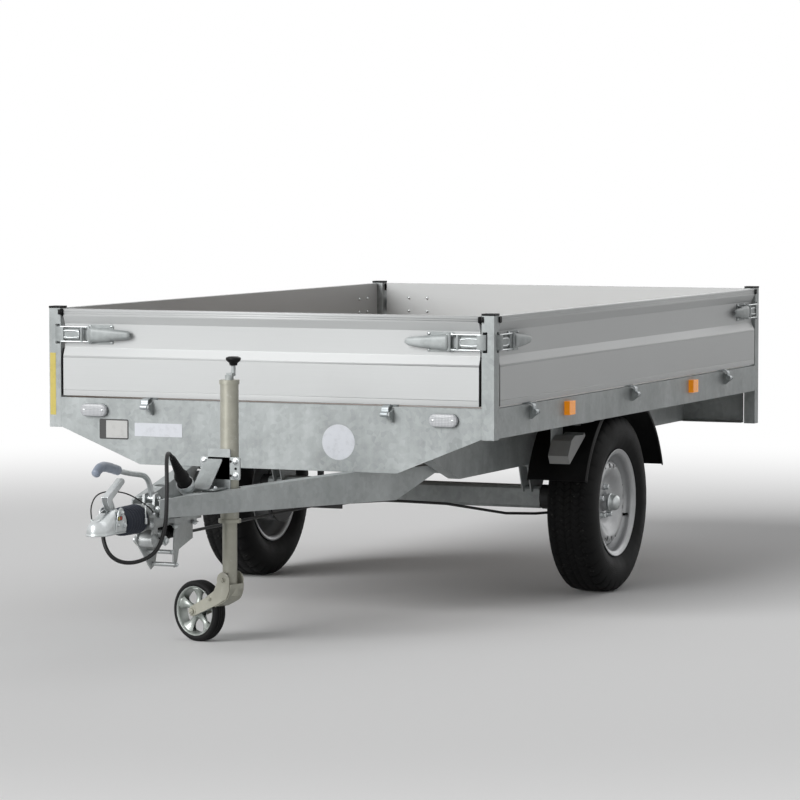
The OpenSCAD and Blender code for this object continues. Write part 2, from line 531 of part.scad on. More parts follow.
module hinge_arm() difference() {
  plate_y(-13, 26) {
    polygon([[hinge_out - eye_r, hinge_z], [hinge_out + eye_r, hinge_z],
      [hinge_out + eye_r, hinge_z + 15], [12, board_z + 40], [0, board_z + 40], [0, board_z + 6],
      [4, board_z + 6], [hinge_out - eye_r, hinge_z + 13]]);
    translate([hinge_out, hinge_z]) circle(r = eye_r);
  }
  bar_y(hinge_out, -20, hinge_z, 40, pin_r + fit);
}
module fittings(k) color("gainsboro") at() face(k) {
  latch(k);
  mirror([0, 1, 0]) latch(k);
  for (v = hinge_at(k)) translate([0, v, 0]) hinge_arm();
}
module front_board() color("lightgray") at() face(0) board(0);
module tail_board() color("lightgray") at() face(1) board(1);
module left_board() color("lightgray") at() face(2) board(2);
module right_board() color("lightgray") at() face(3) board(3);
module front_fittings() fittings(0);
module tail_fittings() fittings(1);
module left_fittings() fittings(2);
module right_fittings() fittings(3);

frame_rails();
cross_members();
side_rails();
front_plate();
rear_plate();
bed_floor();
corner_posts();
post_caps();
hinge_brackets();
drawbar_beams();
overrun_housing();
bellows();
coupling_head();
coupling_handle();
handbrake_lever();
handbrake_grip();
brake_bracket();
brake_rod();
axle_beam();
swing_arms();
brake_plates();
mudguards();
mudguard_stays();
front_lamps();
side_markers();
tail_lamps();
jockey_clamp();
jockey_outer_tube();
jockey_crank();
crank_knob();
wheel_chock();
chock_holder();
plug_holder();
electric_cable();
plug();
breakaway_cable();
front_board();
front_fittings();
tail_board();
tail_fittings();
left_board();
left_fittings();
right_board();
right_fittings();
rim_left();
tyre_left();
hub_left();
rim_right();
tyre_right();
hub_right();
jockey_inner_tube();
jockey_fork();
jockey_rim();
jockey_tyre();
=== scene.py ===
import json
import math
import bmesh
import bpy
import numpy as np
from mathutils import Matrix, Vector


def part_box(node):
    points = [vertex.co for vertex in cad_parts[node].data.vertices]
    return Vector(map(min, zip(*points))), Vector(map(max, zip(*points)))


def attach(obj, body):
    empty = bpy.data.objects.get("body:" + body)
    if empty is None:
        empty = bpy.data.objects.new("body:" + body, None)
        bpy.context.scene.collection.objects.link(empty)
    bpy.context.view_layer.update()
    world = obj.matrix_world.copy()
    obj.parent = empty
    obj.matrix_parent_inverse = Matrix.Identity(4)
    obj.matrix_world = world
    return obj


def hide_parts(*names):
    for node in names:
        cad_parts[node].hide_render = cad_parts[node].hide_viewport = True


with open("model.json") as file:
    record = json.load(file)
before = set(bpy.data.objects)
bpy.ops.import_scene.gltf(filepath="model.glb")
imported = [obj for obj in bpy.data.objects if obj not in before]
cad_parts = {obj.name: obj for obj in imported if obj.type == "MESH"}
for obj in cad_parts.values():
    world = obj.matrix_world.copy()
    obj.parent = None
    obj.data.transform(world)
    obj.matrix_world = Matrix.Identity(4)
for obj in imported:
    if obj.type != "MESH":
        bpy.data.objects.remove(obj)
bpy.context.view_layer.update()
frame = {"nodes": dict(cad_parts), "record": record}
print("frame loaded with", len(frame["nodes"]), "nodes")

# sizes shared by several pieces, in metres, as in the part's source
bed = {"front": 0.806, "length": 2.83, "half": 0.83, "floor": 0.75, "post": 0.045,
       "boardFoot": 0.758, "gap": 0.01, "latchHeight": 0.971, "hingeHeight": 0.727, "hingeOut": 0.028}
wheel = {"x": bed["front"] - 1.365, "y": 0.69, "z": 0.325, "radius": 0.325}
drawbar = {"flange": bed["front"] + 0.957, "shaft": 0.445}
tubeLow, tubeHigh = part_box("jockey_outer_tube")
jockey = {"x": bed["front"] + 0.52, "y": (tubeLow[1] + tubeHigh[1]) / 2, "turn": math.radians(-108),
          "trail": 0.138,
          "radius": 0.1}


# camera
camera = {"place": (12.1801, 5.3889, 1.5894), "yaw": 0.4065, "pitch": 0.0657, "lens": 167.87}


def setCamera(c):
    eye = bpy.data.cameras.new("camera")
    eye.lens, eye.sensor_width = c["lens"], 36.0
    eye.clip_start, eye.clip_end = 0.1, 200.0
    holder = bpy.data.objects.new("camera", eye)
    bpy.context.scene.collection.objects.link(holder)
    flat = math.cos(c["pitch"])
    look = Vector((-math.cos(c["yaw"]) * flat, -math.sin(c["yaw"]) * flat, -math.sin(c["pitch"])))
    holder.location = c["place"]
    holder.rotation_mode = "QUATERNION"
    holder.rotation_quaternion = look.to_track_quat("-Z", "Y")
    bpy.context.scene.camera = holder


setCamera(camera)
bpy.context.scene.view_settings.view_transform = "Standard"
print("camera set")


# shader maths: a Value is an output that takes part in sums, a Paint is one material
class Value:
    def __init__(self, paint, socket):
        self.paint, self.socket = paint, socket

    def maths(self, operation, a, b):
        return self.paint.node("ShaderNodeMath", {"operation": operation}, {0: a, 1: b})

    def __add__(self, other):
        return self.maths("ADD", self, other)

    def __radd__(self, other):
        return self.maths("ADD", other, self)

    def __sub__(self, other):
        return self.maths("SUBTRACT", self, other)

    def __rsub__(self, other):
        return self.maths("SUBTRACT", other, self)

    def __mul__(self, other):
        return self.maths("MULTIPLY", self, other)

    def __rmul__(self, other):
        return self.maths("MULTIPLY", other, self)


class Paint:
    def __init__(self, name, **fixed):
        self.material = bpy.data.materials.new(name)
        self.material.use_nodes = True
        self.tree = self.material.node_tree
        self.shader = self.tree.nodes["Principled BSDF"]
        for socket, value in fixed.items():      # constants stay on the shader's own sockets
            self.shader.inputs[socket.replace("_", " ")].default_value = value
        self.place = self.node("ShaderNodeTexCoord", out="Object")

    def node(self, kind, settings=None, inputs=None, out=0):
        made = self.tree.nodes.new(kind)
        for key, value in (settings or {}).items():
            setattr(made, key, value)
        for key, value in (inputs or {}).items():
            if isinstance(value, Value):
                self.tree.links.new(value.socket, made.inputs[key])
            else:
                made.inputs[key].default_value = value
        return Value(self, made.outputs[out])

    def feed(self, **links):
        for socket, value in links.items():
            self.tree.links.new(value.socket, self.shader.inputs[socket.replace("_", " ")])
        return self.material

    def stretched(self, scale):                   # the object's coordinates, scaled apart along each axis
        return self.node("ShaderNodeMapping", {}, {"Vector": self.place, "Scale": scale})

    def noise(self, scale, detail=3.0, rough=0.55, where=None):
        return self.node("ShaderNodeTexNoise", {}, {"Vector": where or self.place, "Scale": scale,
                         "Detail": detail, "Roughness": rough})

    def cells(self, scale, out="Color", where=None, feature="F1"):
        return self.node("ShaderNodeTexVoronoi", {"feature": feature},
                         {"Vector": where or self.place, "Scale": scale}, out)

    def step(self, value, low, high, least=0.0, most=1.0):
        return self.node("ShaderNodeMapRange", {"interpolation_type": "SMOOTHSTEP"},
                         {"Value": value, "From Min": low, "From Max": high, "To Min": least, "To Max": most})

    def mix(self, mask, a, b):
        return self.node("ShaderNodeMix", {"data_type": "RGBA"}, {0: mask, 6: a, 7: b}, 2)

    def axis(self, which):
        return self.node("ShaderNodeSeparateXYZ", {}, {"Vector": self.place}, which)

    def bump(self, height, strength, depth):
        return self.node("ShaderNodeBump", {}, {"Height": height, "Strength": strength, "Distance": depth},
                         "Normal")


def tone(r, g, b):
    return (r, g, b, 1.0)


# hot dip zinc: crystals about 15 mm across over slow clouds, with faint run marks down the sheet
def galvanised(name, dark, light, metal=0.1, rough=0.46, grain=62.0):
    p = Paint(name, Metallic=metal)
    drift = p.node("ShaderNodeVectorMath", {"operation": "MULTIPLY_ADD"},
                   {0: p.node("ShaderNodeTexNoise", {}, {"Vector": p.place, "Scale": 30.0, "Detail": 2.0}, 1),
                    1: (0.012, 0.012, 0.012), 2: p.place})
    crystal = p.cells(grain, where=drift) * 1.0
    cloud = p.noise(5.0, 5.0, 0.62)
    speck = p.noise(240.0, 2.0)
    runs = p.noise(1.0, 4.0, 0.6, p.stretched((14.0, 14.0, 1.6)))
    mask = crystal * 0.3 + p.step(cloud, 0.32, 0.68) * 0.4 + p.step(runs, 0.35, 0.7) * 0.2 + speck * 0.1
    roughness = crystal * 0.12 + cloud * 0.14 + (rough - 0.13)
    return p.feed(Base_Color=p.mix(mask, tone(*dark), tone(*light)), Roughness=roughness,
                  Normal=p.bump(crystal * 0.5 + speck * 0.35, 0.25, 0.0006))


# extruded aluminium: a fine grain along the board, a few handling marks
def brushed(name, along, base=(0.5, 0.512, 0.512)):
    p = Paint(name, Metallic=0.12)
    scale = [900.0, 900.0, 900.0]
    scale[along] = 5.0
    grain = p.noise(1.0, 3.0, 0.6, p.stretched(tuple(scale)))
    cloud = p.noise(2.2, 4.0, 0.5)
    mark = p.step(p.noise(11.0, 6.0, 0.7), 0.63, 0.76)
    low, high = [v * 0.9 for v in base], [min(1.0, v * 1.08) for v in base]
    shade = p.mix(grain * 0.55 + cloud * 0.45, tone(*low), tone(*high))
    shade = p.mix(mark * 0.25, shade, tone(0.44, 0.44, 0.43))
    return p.feed(Base_Color=shade, Roughness=grain * 0.12 + cloud * 0.1 + mark * 0.08 + 0.3,
                  Normal=p.bump(grain, 0.12, 0.0003))


# zinc plated small parts: bright, with straw and blue tints and rubbed high spots
def plated(name, light=(0.6, 0.625, 0.635), tint=(0.44, 0.47, 0.46), rough=0.3, metal=0.85):
    p = Paint(name, Metallic=metal)
    film = p.noise(16.0, 4.0, 0.6)
    speck = p.noise(320.0, 2.0)
    rub = p.step(p.noise(45.0, 5.0, 0.7), 0.56, 0.72)
    shade = p.mix(p.step(film, 0.35, 0.65) * 0.6, tone(*light), tone(*tint))
    shade = p.mix(rub * 0.2, shade, tone(0.78, 0.79, 0.8))
    return p.feed(Base_Color=shade, Roughness=film * 0.16 + speck * 0.08 + (rough - 0.1),
                  Normal=p.bump(speck * 0.6 + film * 0.4, 0.16, 0.0004))


# rubber and moulded plastic: a fine skin, paler dust in patches
def moulded(name, base, dust, rough, dusty=0.3, grain=420.0, relief=0.25, shine=0.3):
    p = Paint(name, Specular_IOR_Level=shine)
    fine = p.noise(grain, 3.0, 0.6)
    film = p.step(p.noise(9.0, 5.0, 0.65), 0.42, 0.72)
    shade = p.mix(film * dusty + fine * 0.12, tone(*base), tone(*dust))
    return p.feed(Base_Color=shade, Roughness=film * 0.14 + fine * 0.1 + (rough - 0.08),
                  Normal=p.bump(fine, relief, 0.0005))


# tyre: rubber whose tread carries fine cuts across it, painted near black as painted shade in the cuts, and pale
# grit, worked out from the angle about the axle
def tyreRubber(name, treadStart=0.312):
    p = Paint(name, Specular_IOR_Level=0.12)
    x, y, z = p.axis(0) - wheel["x"], p.axis(1), p.axis(2) - wheel["z"]
    radius = p.node("ShaderNodeMath", {"operation": "SQRT"}, {0: x * x + z * z})
    angle = p.node("ShaderNodeMath", {"operation": "ARCTAN2"}, {0: z, 1: x})
    wave = p.node("ShaderNodeMath", {"operation": "SINE"}, {0: angle * 84.0 + p.node(
        "ShaderNodeMath", {"operation": "PINGPONG"}, {0: y, 1: 0.022}) * 210.0})
    tread = p.step(radius, treadStart, treadStart + 0.006)
    cut = p.step(wave, 0.72, 0.9) * tread
    fine = p.noise(260.0)
    grit = p.step(p.noise(70.0, 5.0, 0.75), 0.58, 0.7) * tread
    rings = p.step(p.node("ShaderNodeMath", {"operation": "SINE"}, {0: radius * 900.0}), 0.2, 0.9)
    wall = p.step(radius, 0.23, 0.24) * (1.0 - p.step(radius, 0.262, 0.272))
    film = p.step(p.noise(9.0, 5.0, 0.65), 0.42, 0.72)
    shade = p.mix(film * 0.3 + fine * 0.12, tone(0.0062, 0.0064, 0.0068), tone(0.02, 0.0195, 0.018))
    # the cuts take a near black tone: painted shade inside them
    shade = p.mix(cut * 0.8, p.mix(grit * 0.55, shade, tone(0.085, 0.083, 0.076)), tone(0.002, 0.002, 0.002))
    return p.feed(Base_Color=shade, Roughness=film * 0.12 + grit * 0.1 + 0.62,
                  Normal=p.bump(fine * 0.25 - cut + rings * wall * 0.35, 0.6, 0.0016))


# lens: clear ribs moulded behind a glossy face, painted as fine bright and dark lines, which are painted
# highlights and painted shade of the ribs
def lens(name, base, ribShade, ribs, glow=0.0):
    # glow gives the lens a faint emission though no lamp is lit in it: painted light
    p = Paint(name, Coat_Weight=0.25, Specular_IOR_Level=0.35, Emission_Strength=glow)
    wave = p.node("ShaderNodeTexWave", {"wave_type": "BANDS", "bands_direction": "Y"},
                  {"Vector": p.place, "Scale": ribs, "Distortion": 0.0})
    rows = p.node("ShaderNodeTexWave", {"wave_type": "BANDS", "bands_direction": "Z"},
                  {"Vector": p.place, "Scale": ribs, "Distortion": 0.0})
    # the bands mix a darker and a brighter tone: painted highlight and painted shade along the ribs
    shade = p.mix(wave * 0.5 + rows * 0.35, tone(*ribShade), tone(*base))
    return p.feed(Base_Color=shade, Roughness=wave * 0.1 + 0.1, Emission_Color=shade,
                  Normal=p.bump(wave + rows, 0.3, 0.0008))


# film faced birch: brown film with a pressed net, worn lighter in patches
def filmPly(name):
    p = Paint(name)
    net = p.step(p.cells(260.0, "Distance"), 0.25, 0.5)
    wear = p.step(p.noise(3.4, 6.0, 0.65), 0.4, 0.72)
    streak = p.noise(1.0, 4.0, 0.6, p.stretched((3.0, 60.0, 60.0)))
    shade = p.mix(net * 0.35 + streak * 0.3, tone(0.115, 0.062, 0.035), tone(0.2, 0.12, 0.07))
    shade = p.mix(wear * 0.35, shade, tone(0.3, 0.22, 0.15))
    return p.feed(Base_Color=shade, Roughness=wear * 0.2 + 0.4, Normal=p.bump(net, 0.3, 0.0006))


# printed sheet: a plain colour with faint age marks
def printed(name, base, rough=0.4):
    p = Paint(name, Coat_Weight=0.2)
    age = p.step(p.noise(38.0, 5.0, 0.7), 0.45, 0.75)
    worn = tuple(v * 0.86 for v in base)
    return p.feed(Base_Color=p.mix(age, tone(*base), tone(*worn)), Roughness=age * 0.15 + rough)


paints = {
    "galvanised_steel": galvanised("galvanised steel", (0.22, 0.238, 0.238), (0.47, 0.5, 0.5)),
    "cast_steel": galvanised("cast steel", (0.26, 0.275, 0.275), (0.5, 0.52, 0.52), 0.35, 0.4, 120.0),
    "zinc_plate": plated("zinc plate"),
    "tube_steel": plated("tube steel", (0.4, 0.395, 0.335), (0.32, 0.315, 0.265), 0.4, 0.4),
    "dark_steel": moulded("dark steel", (0.03, 0.031, 0.032), (0.09, 0.087, 0.083), 0.5),
    "aluminium": brushed("aluminium along", 0),
    "wheel_silver": plated("wheel silver", (0.47, 0.478, 0.485), (0.4, 0.408, 0.415), 0.36, 0.45),
    "tyre_rubber": tyreRubber("tyre rubber"),
    # a paler copy of the galvanised steel, used on the drawbar beams: painted light
    "beam_steel": galvanised("galvanised beams lit", (0.34, 0.365, 0.365), (0.6, 0.635, 0.635)),
    "cable_rubber": moulded("cable rubber", (0.01, 0.01, 0.0105), (0.03, 0.03, 0.03), 0.5, 0.25, 700.0),
    "bellows_rubber": moulded("bellows rubber", (0.017, 0.022, 0.036), (0.045, 0.052, 0.066), 0.45),
    "black_plastic": moulded("black plastic", (0.004, 0.004, 0.0044), (0.014, 0.014, 0.013), 0.5, 0.3,
                             900.0, 0.25, 0.16),
    "grey_plastic": moulded("grey plastic", (0.24, 0.245, 0.245), (0.36, 0.355, 0.34), 0.55),
    "grip_plastic": moulded("grip plastic", (0.235, 0.275, 0.345), (0.42, 0.45, 0.5), 0.38, 0.5, 500.0,
                            0.15, 0.4),
    "plywood": filmPly("film faced plywood"),
    "clear_lens": lens("clear lens", (0.64, 0.65, 0.66), (0.3, 0.31, 0.33), 60.0),
    # the amber lens is given a small glow: painted light that brightens its shaded side
    "amber_lens": lens("amber lens", (0.85, 0.3, 0.002), (0.6, 0.17, 0.001), 80.0, 0.4),
    "red_lens": lens("red lens", (0.6, 0.02, 0.012), (0.32, 0.008, 0.006), 60.0)}
across = brushed("aluminium across", 1)
smallRubber = moulded("jockey tyre rubber", (0.006, 0.0062, 0.0066), (0.022, 0.021, 0.019), 0.6, 0.3, 260.0,
                      0.4, 0.15)
smallRim = plated("jockey rim zinc", (0.4, 0.425, 0.405), (0.27, 0.3, 0.275), 0.36, 0.55)
hingeZinc = plated("hinge zinc", (0.42, 0.45, 0.46), (0.3, 0.33, 0.34), 0.4, 0.5)
white = printed("white film", (0.6, 0.62, 0.66))
silverFilm = printed("silver film", (0.5, 0.5, 0.49), 0.3)
yellow = printed("yellow tape", (0.55, 0.45, 0.1), 0.5)
blackFilm = printed("black film", (0.03, 0.03, 0.03))
redDot = printed("red mark", (0.6, 0.04, 0.04))
print("materials made:", len(paints) + 9)


# surfaces: points as rows by columns by 3, faces between neighbours
def grid(points, aroundRows=False, aroundCols=False, caps=False):
    rows, cols = points.shape[:2]
    index = np.arange(rows * cols).reshape(rows, cols)
    ends = [index[:1][:, ::-1], index[-1:]] if caps else []
    if aroundRows:
        index = np.vstack([index, index[:1]])
    if aroundCols:
        index = np.hstack([index, index[:, :1]])
    quads = np.stack([index[:-1, :-1], index[:-1, 1:], index[1:, 1:], index[1:, :-1]], -1).reshape(-1, 4)
    return points.reshape(-1, 3), [quads, *ends]


def unit(v):
    v = np.asarray(v, float)
    return v / np.maximum(np.linalg.norm(v, axis=-1, keepdims=True), 1e-12)


# a flat profile carried along a path: each path point plus u times the side way and v times the top way
def sweep(profile, path, up=(0, 0, 1), closed=False, scale=None):
    path, profile = np.asarray(path, float), np.asarray(profile, float)
    if closed:
        way = unit(np.roll(path, -1, 0) - np.roll(path, 1, 0))
    else:
        way = unit(np.gradient(path, axis=0))
    side = unit(np.cross(way, np.asarray(up, float)))
    top = np.cross(side, way)
    size = np.ones(len(path)) if scale is None else np.asarray(scale, float)
    points = path[:, None] + size[:, None, None] * (profile[None, :, :1] * side[:, None]
                                                    + profile[None, :, 1:] * top[:, None])
    return grid(points, closed, True, not closed)


# a profile of (radius, height) turned round an axis through a place
def turned(profile, place, axis=(0, 0, 1), steps=40, closed=False, phase=0.0):
    axis = unit(axis)
    side = unit(np.cross(axis, (0.31, 0.52, 0.79)))
    if abs(axis[1]) > 0.99 or abs(axis[0]) > 0.99:
        side = np.array((0.0, 0.0, 1.0))
    top = np.cross(axis, side)
    profile = np.asarray(profile, float)
    a = np.arange(steps) * 2 * math.pi / steps + phase
    ring = np.cos(a)[:, None] * side + np.sin(a)[:, None] * top
    points = np.asarray(place, float) + profile[:, None, 1:] * axis + profile[:, None, :1] * ring[None]
    return grid(points, closed, True)


def ringProfile(radius, count=12):
    a = np.arange(count) * 2 * math.pi / count
    return np.stack([np.cos(a), np.sin(a)], -1) * radius


def tube(path, radius, count=12, up=(0.31, 0.2, 0.93)):
    return sweep(ringProfile(radius, count), path, up)


# corners of a width by height rectangle rounded to radius r, as arcs of a few points
def roundedOutline(width, height, r, count=5):
    a = np.linspace(0, math.pi / 2, count)
    arc = np.stack([np.cos(a), np.sin(a)], -1) * r
    turn = np.array([[[1, 0], [0, 1]], [[0, 1], [-1, 0]], [[-1, 0], [0, -1]], [[0, -1], [1, 0]]], float)
    middle = np.array([[1, 1], [-1, 1], [-1, -1], [1, -1]]) * (width / 2 - r, height / 2 - r)
    return np.concatenate([arc @ turn[k] + middle[k] for k in range(4)])


# a plate: its outline at four heights, drawn in a little at both faces for a soft edge
def plate(outline, thick, edge, place, u, v, crown=0.0):
    outline = np.asarray(outline, float)
    middle = outline.mean(0)
    reach = np.abs(outline - middle).max(0)
    u, v = unit(u), unit(v)
    w = np.cross(u, v)
    inset = np.array([edge, 0.0, 0.0, edge])
    lift = np.array([0.0, edge, thick - edge, thick])
    if crown:
        inset, lift = np.append(inset, reach.min() * 0.45), np.append(lift, thick + crown)
    shrink = 1 - inset[:, None] / reach[None]
    flat = middle + (outline - middle)[None] * shrink[:, None]
    points = (np.asarray(place, float) + flat[..., :1] * u + flat[..., 1:] * v
              + lift[:, None, None] * w)
    return grid(points, False, True, True)


# a round bar between two heights along an axis through a place
def bar(radius, low, high, place, axis, steps):
    return turned([(0, low), (radius, low), (radius, high), (0, high)], place, axis, steps)


def disc(radius, thick, place, axis, steps=24, dome=0.0):
    edge = min(thick, radius) * 0.25
    profile = [(0, 0), (radius, 0), (radius, thick - edge), (radius - edge, thick)]
    if dome:
        profile += [(radius * 0.75, thick + dome * 0.5), (radius * 0.4, thick + dome * 0.9),
                    (0, thick + dome)]
    else:
        profile += [(0, thick)]
    return turned(profile, place, axis, steps)


# a bolt: washer, six sided head and the rounded end of the thread
def bolt(place, axis, radius, washer=True):
    place, axis = np.asarray(place, float), unit(axis)
    parts = []
    base = 0.0
    if washer:
        parts.append(disc(radius * 1.45, radius * 0.22, place, axis, 20))
        base = radius * 0.2
    head = [(0, 0), (radius, 0), (radius, radius * 0.62), (radius * 0.82, radius * 0.74), (0, radius * 0.74)]
    parts.append(turned(head, place + axis * base, axis, 6))
    parts.append(disc(radius * 0.5, radius * 0.3, place + axis * (base + radius * 0.7), axis, 12))
    return join(*parts)


def join(*parts):
    points, faces, start = [], [], 0
    for spots, blocks in parts:
        points.append(spots)
        faces += [block + start for block in blocks]
        start += len(spots)
    return np.concatenate(points), faces


def moved(part, change):
    return change(part[0]), part[1]


# a smooth line through points, each stretch a cubic whose slopes are half the step across its neighbours
def smoothLine(points, per=6):
    p = np.asarray(points, float)
    q = np.concatenate([[2 * p[0] - p[1]], p, [2 * p[-1] - p[-2]]])
    t = np.arange(per)[None, :, None] / per
    a, b, c, d = (q[i:len(q) - 3 + i][:, None] for i in range(4))
    line = 0.5 * (2 * b + (c - a) * t + (2 * a - 5 * b + 4 * c - d) * t ** 2
                  + (3 * b - a - 3 * c + d) * t ** 3)
    return np.concatenate([line.reshape(-1, p.shape[1]), p[-1:]])


# a sheet between two places across, which follows a line of x and z
def sheet(line, y0, y1, thick):
    line = np.asarray(line, float)
    way = unit(np.gradient(line, axis=0))
    normal = np.stack([-way[:, 1], way[:, 0]], -1)
    rows = [(line + normal * lift, y) for y, lift in ((y0, 0), (y1, 0), (y1, -thick), (y0, -thick))]
    points = np.stack([np.stack([flat[:, 0], np.full(len(line), y), flat[:, 1]], -1) for flat, y in rows], 1)
    return grid(points, False, True, True)


def spot(x, y, z):                               # a place in millimetres from the bed's front, on the ground
    return np.array([x, y, z], float) / 1000 + (bed["front"], 0, 0)


def spotLine(points):                            # a smooth line through places in millimetres
    return spot(0, 0, 0) + smoothLine(points) / 1000


def makePiece(name, part, body, paint, stands=(), smooth=True, bevel=0.0, rounds=2):
    points, blocks = part
    mesh = bpy.data.meshes.new(name)
    mesh.from_pydata(points.tolist(), [], [f for block in blocks for f in block.tolist()])
    shell = bmeshFrom(mesh)
    shell.to_mesh(mesh)
    shell.free()
    mesh.polygons.foreach_set("use_smooth", [smooth] * len(mesh.polygons))
    thing = bpy.data.objects.new(name, mesh)
    bpy.context.scene.collection.objects.link(thing)
    mesh.materials.append(paints[paint] if isinstance(paint, str) else paint)
    soften(thing, bevel, rounds)
    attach(thing, body)
    if stands:
        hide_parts(*stands)
    return thing


def bmeshFrom(mesh):
    shell = bmesh.new()
    shell.from_mesh(mesh)
    bmesh.ops.remove_doubles(shell, verts=shell.verts, dist=2e-6)
    bmesh.ops.dissolve_degenerate(shell, dist=1e-6, edges=shell.edges)
    bmesh.ops.recalc_face_normals(shell, faces=shell.faces)
    return shell


def soften(thing, bevel, rounds=2):
    if bevel:
        edge = thing.modifiers.new("edge", "BEVEL")
        edge.width, edge.segments, edge.limit_method = bevel, rounds, "ANGLE"
        edge.angle_limit = math.radians(32)
    even = thing.modifiers.new("even", "WEIGHTED_NORMAL")
    even.weight = 50


# points of one side of the bed: x out of the board, y along it, z up; 0 front, 1 tail, 2 left, 3 right
def toSide(k, p):
    x, y, z = p[..., 0], p[..., 1], p[..., 2]
    if k == 0:
        return np.stack([bed["front"] + x, y, z], -1)
    if k == 1:
        return np.stack([bed["front"] - bed["length"] - x, y, z], -1)
    way = 1 if k == 2 else -1
    return np.stack([bed["front"] - bed["length"] / 2 - y, way * (bed["half"] + x), z], -1)


sides = {0: "front", 1: "tail", 2: "left", 3: "right"}
spans = {k: (2 * bed["half"] if k < 2 else bed["length"]) - 2 * bed["post"] - 2 * bed["gap"] for k in sides}
hingeSpots = {k: ([-0.4482, 0.4482] if k < 2 else [(s - 0.5) * bed["length"] for s in (0.108, 0.466, 0.84)])
              for k in sides}

# cords
cable = {"radius": 0.0065, "route": [
    [800.3, -80.4, 456], [803.1, -89.3, 457], [813, -99, 458], [832, -101, 459], [860, -96, 460],
    [895, -88, 461],
    [935, -80, 462], [980, -74, 458], [1022, -68, 447], [1062, -60, 425], [1088, -48, 395], [1098, -32, 362],
    [1092, -14, 336], [1072, 8, 320], [1040, 32, 316], [1005, 56, 325], [975, 72, 342], [952, 82, 370],
    [936, 88, 410], [926, 90, 455], [918, 88, 500], [908, 84, 545], [893, 76, 585], [868, 63, 622],
    [842, 53, 641], [818, 47, 641], [797, 45, 631]]}
wire = {"radius": 0.0022, "route": [
    [927, 40, 461.5], [934, 47, 460], [946, 54, 467], [965, 55, 479], [985, 53, 490], [1004, 51, 499],
    [1024, 48, 509], [1044, 42, 520], [1062, 32, 530], [1074, 17, 537], [1080, 0, 540], [1086, -16, 541],
    [1100, -30, 541], [1124, -40, 537], [1148, -44, 527], [1168, -44, 510], [1180, -42, 490],
    [1186, -37, 468], [1188, -34, 450], [1188, -32.4, 438]]}


def routeLine(c, per=4):
    return smoothLine(np.array(c["route"], float) / 1000 + (bed["front"], 0, 0), per)


def makeCord(name, c, node, pieces=()):
    line = routeLine(c)
    curve = bpy.data.curves.new(name, "CURVE")
    curve.dimensions, curve.bevel_depth, curve.bevel_resolution = "3D", c["radius"], 3
    curve.use_fill_caps = True
    spline = curve.splines.new("POLY")
    spline.points.add(len(line) - 1)
    spline.points.foreach_set("co", np.hstack([line, np.ones((len(line), 1))]).astype(np.float32).ravel())
    spline.use_smooth = True
    thing = bpy.data.objects.new(name, curve)
    bpy.context.scene.collection.objects.link(thing)
    curve.materials.append(paints["cable_rubber"])
    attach(thing, "chassis")
    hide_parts(node)


# plug: a grooved cap and a ribbed boot that narrows to the cable
def makePlug():
    rows = [(0, -0.004), (0.021, -0.004), (0.024, -0.001), (0.0245, 0.003), (0.0245, 0.012), (0.0226, 0.014),
            (0.0226, 0.034), (0.0238, 0.036), (0.0238, 0.044), (0.0218, 0.05), (0.0182, 0.058),
            (0.0165, 0.066)]
    for i in range(7):
        r, h = 0.0158 - 0.0009 * i, 0.068 + 0.009 * i
        rows += [(r, h), (r, h + 0.005), (r - 0.0016, h + 0.0062), (r - 0.0016, h + 0.0082)]
    rows += [(0.0088, 0.133), (0, 0.134)]
    place = np.array([700, 45, 534]) / 1000 + (bed["front"], 0, 0)
    return makePiece("plugBody", turned(rows, place, (1, 0, 1), 36), "chassis", "black_plastic",
                     ["plug"])


makeCord("cableLead", cable, "electric_cable", [makePlug()])
makeCord("breakawayLead", wire, "breakaway_cable")


# boards: the extruded section in millimetres, with fine grooves, drawn from the inner foot outwards
board = {"grooves": (20, 132), "lipGrooves": (283, 290), "depth": 0.9}


def groove(z, depth):
    return [(0, z - 1.0), (-depth, z - 0.3), (-depth, z + 0.3), (0, z + 1.0)]


def boardSection():
    d = board["depth"]
    out = [(-25, 0.8), (-24.2, 0), (-1.2, 0), (0, 1.2)]
    out += groove(board["grooves"][0], d) + groove(board["grooves"][1], d)
    out += [(0, 137.6), (-0.5, 139.6), (-12.3, 165.4), (-13, 167.6), (-13, 248.2), (-12.4, 250.4)]
    out += [(-1.0, 274.6), (0, 276.6)] + groove(board["lipGrooves"][0], d) + groove(board["lipGrooves"][1], d)
    out += [(0, 297.4), (-0.8, 299.4), (-2.6, 300), (-23.6, 300), (-25, 298.8)]
    return np.array(out, float) / 1000 + (0, bed["boardFoot"])


def extrudeSide(k, section, start, stop):
    rows = np.array([start, stop])
    points = np.empty((2, len(section), 3))
    points[..., 0], points[..., 2] = section[:, 0], section[:, 1]
    points[..., 1] = rows[:, None]
    return grid(toSide(k, points), False, True, True)


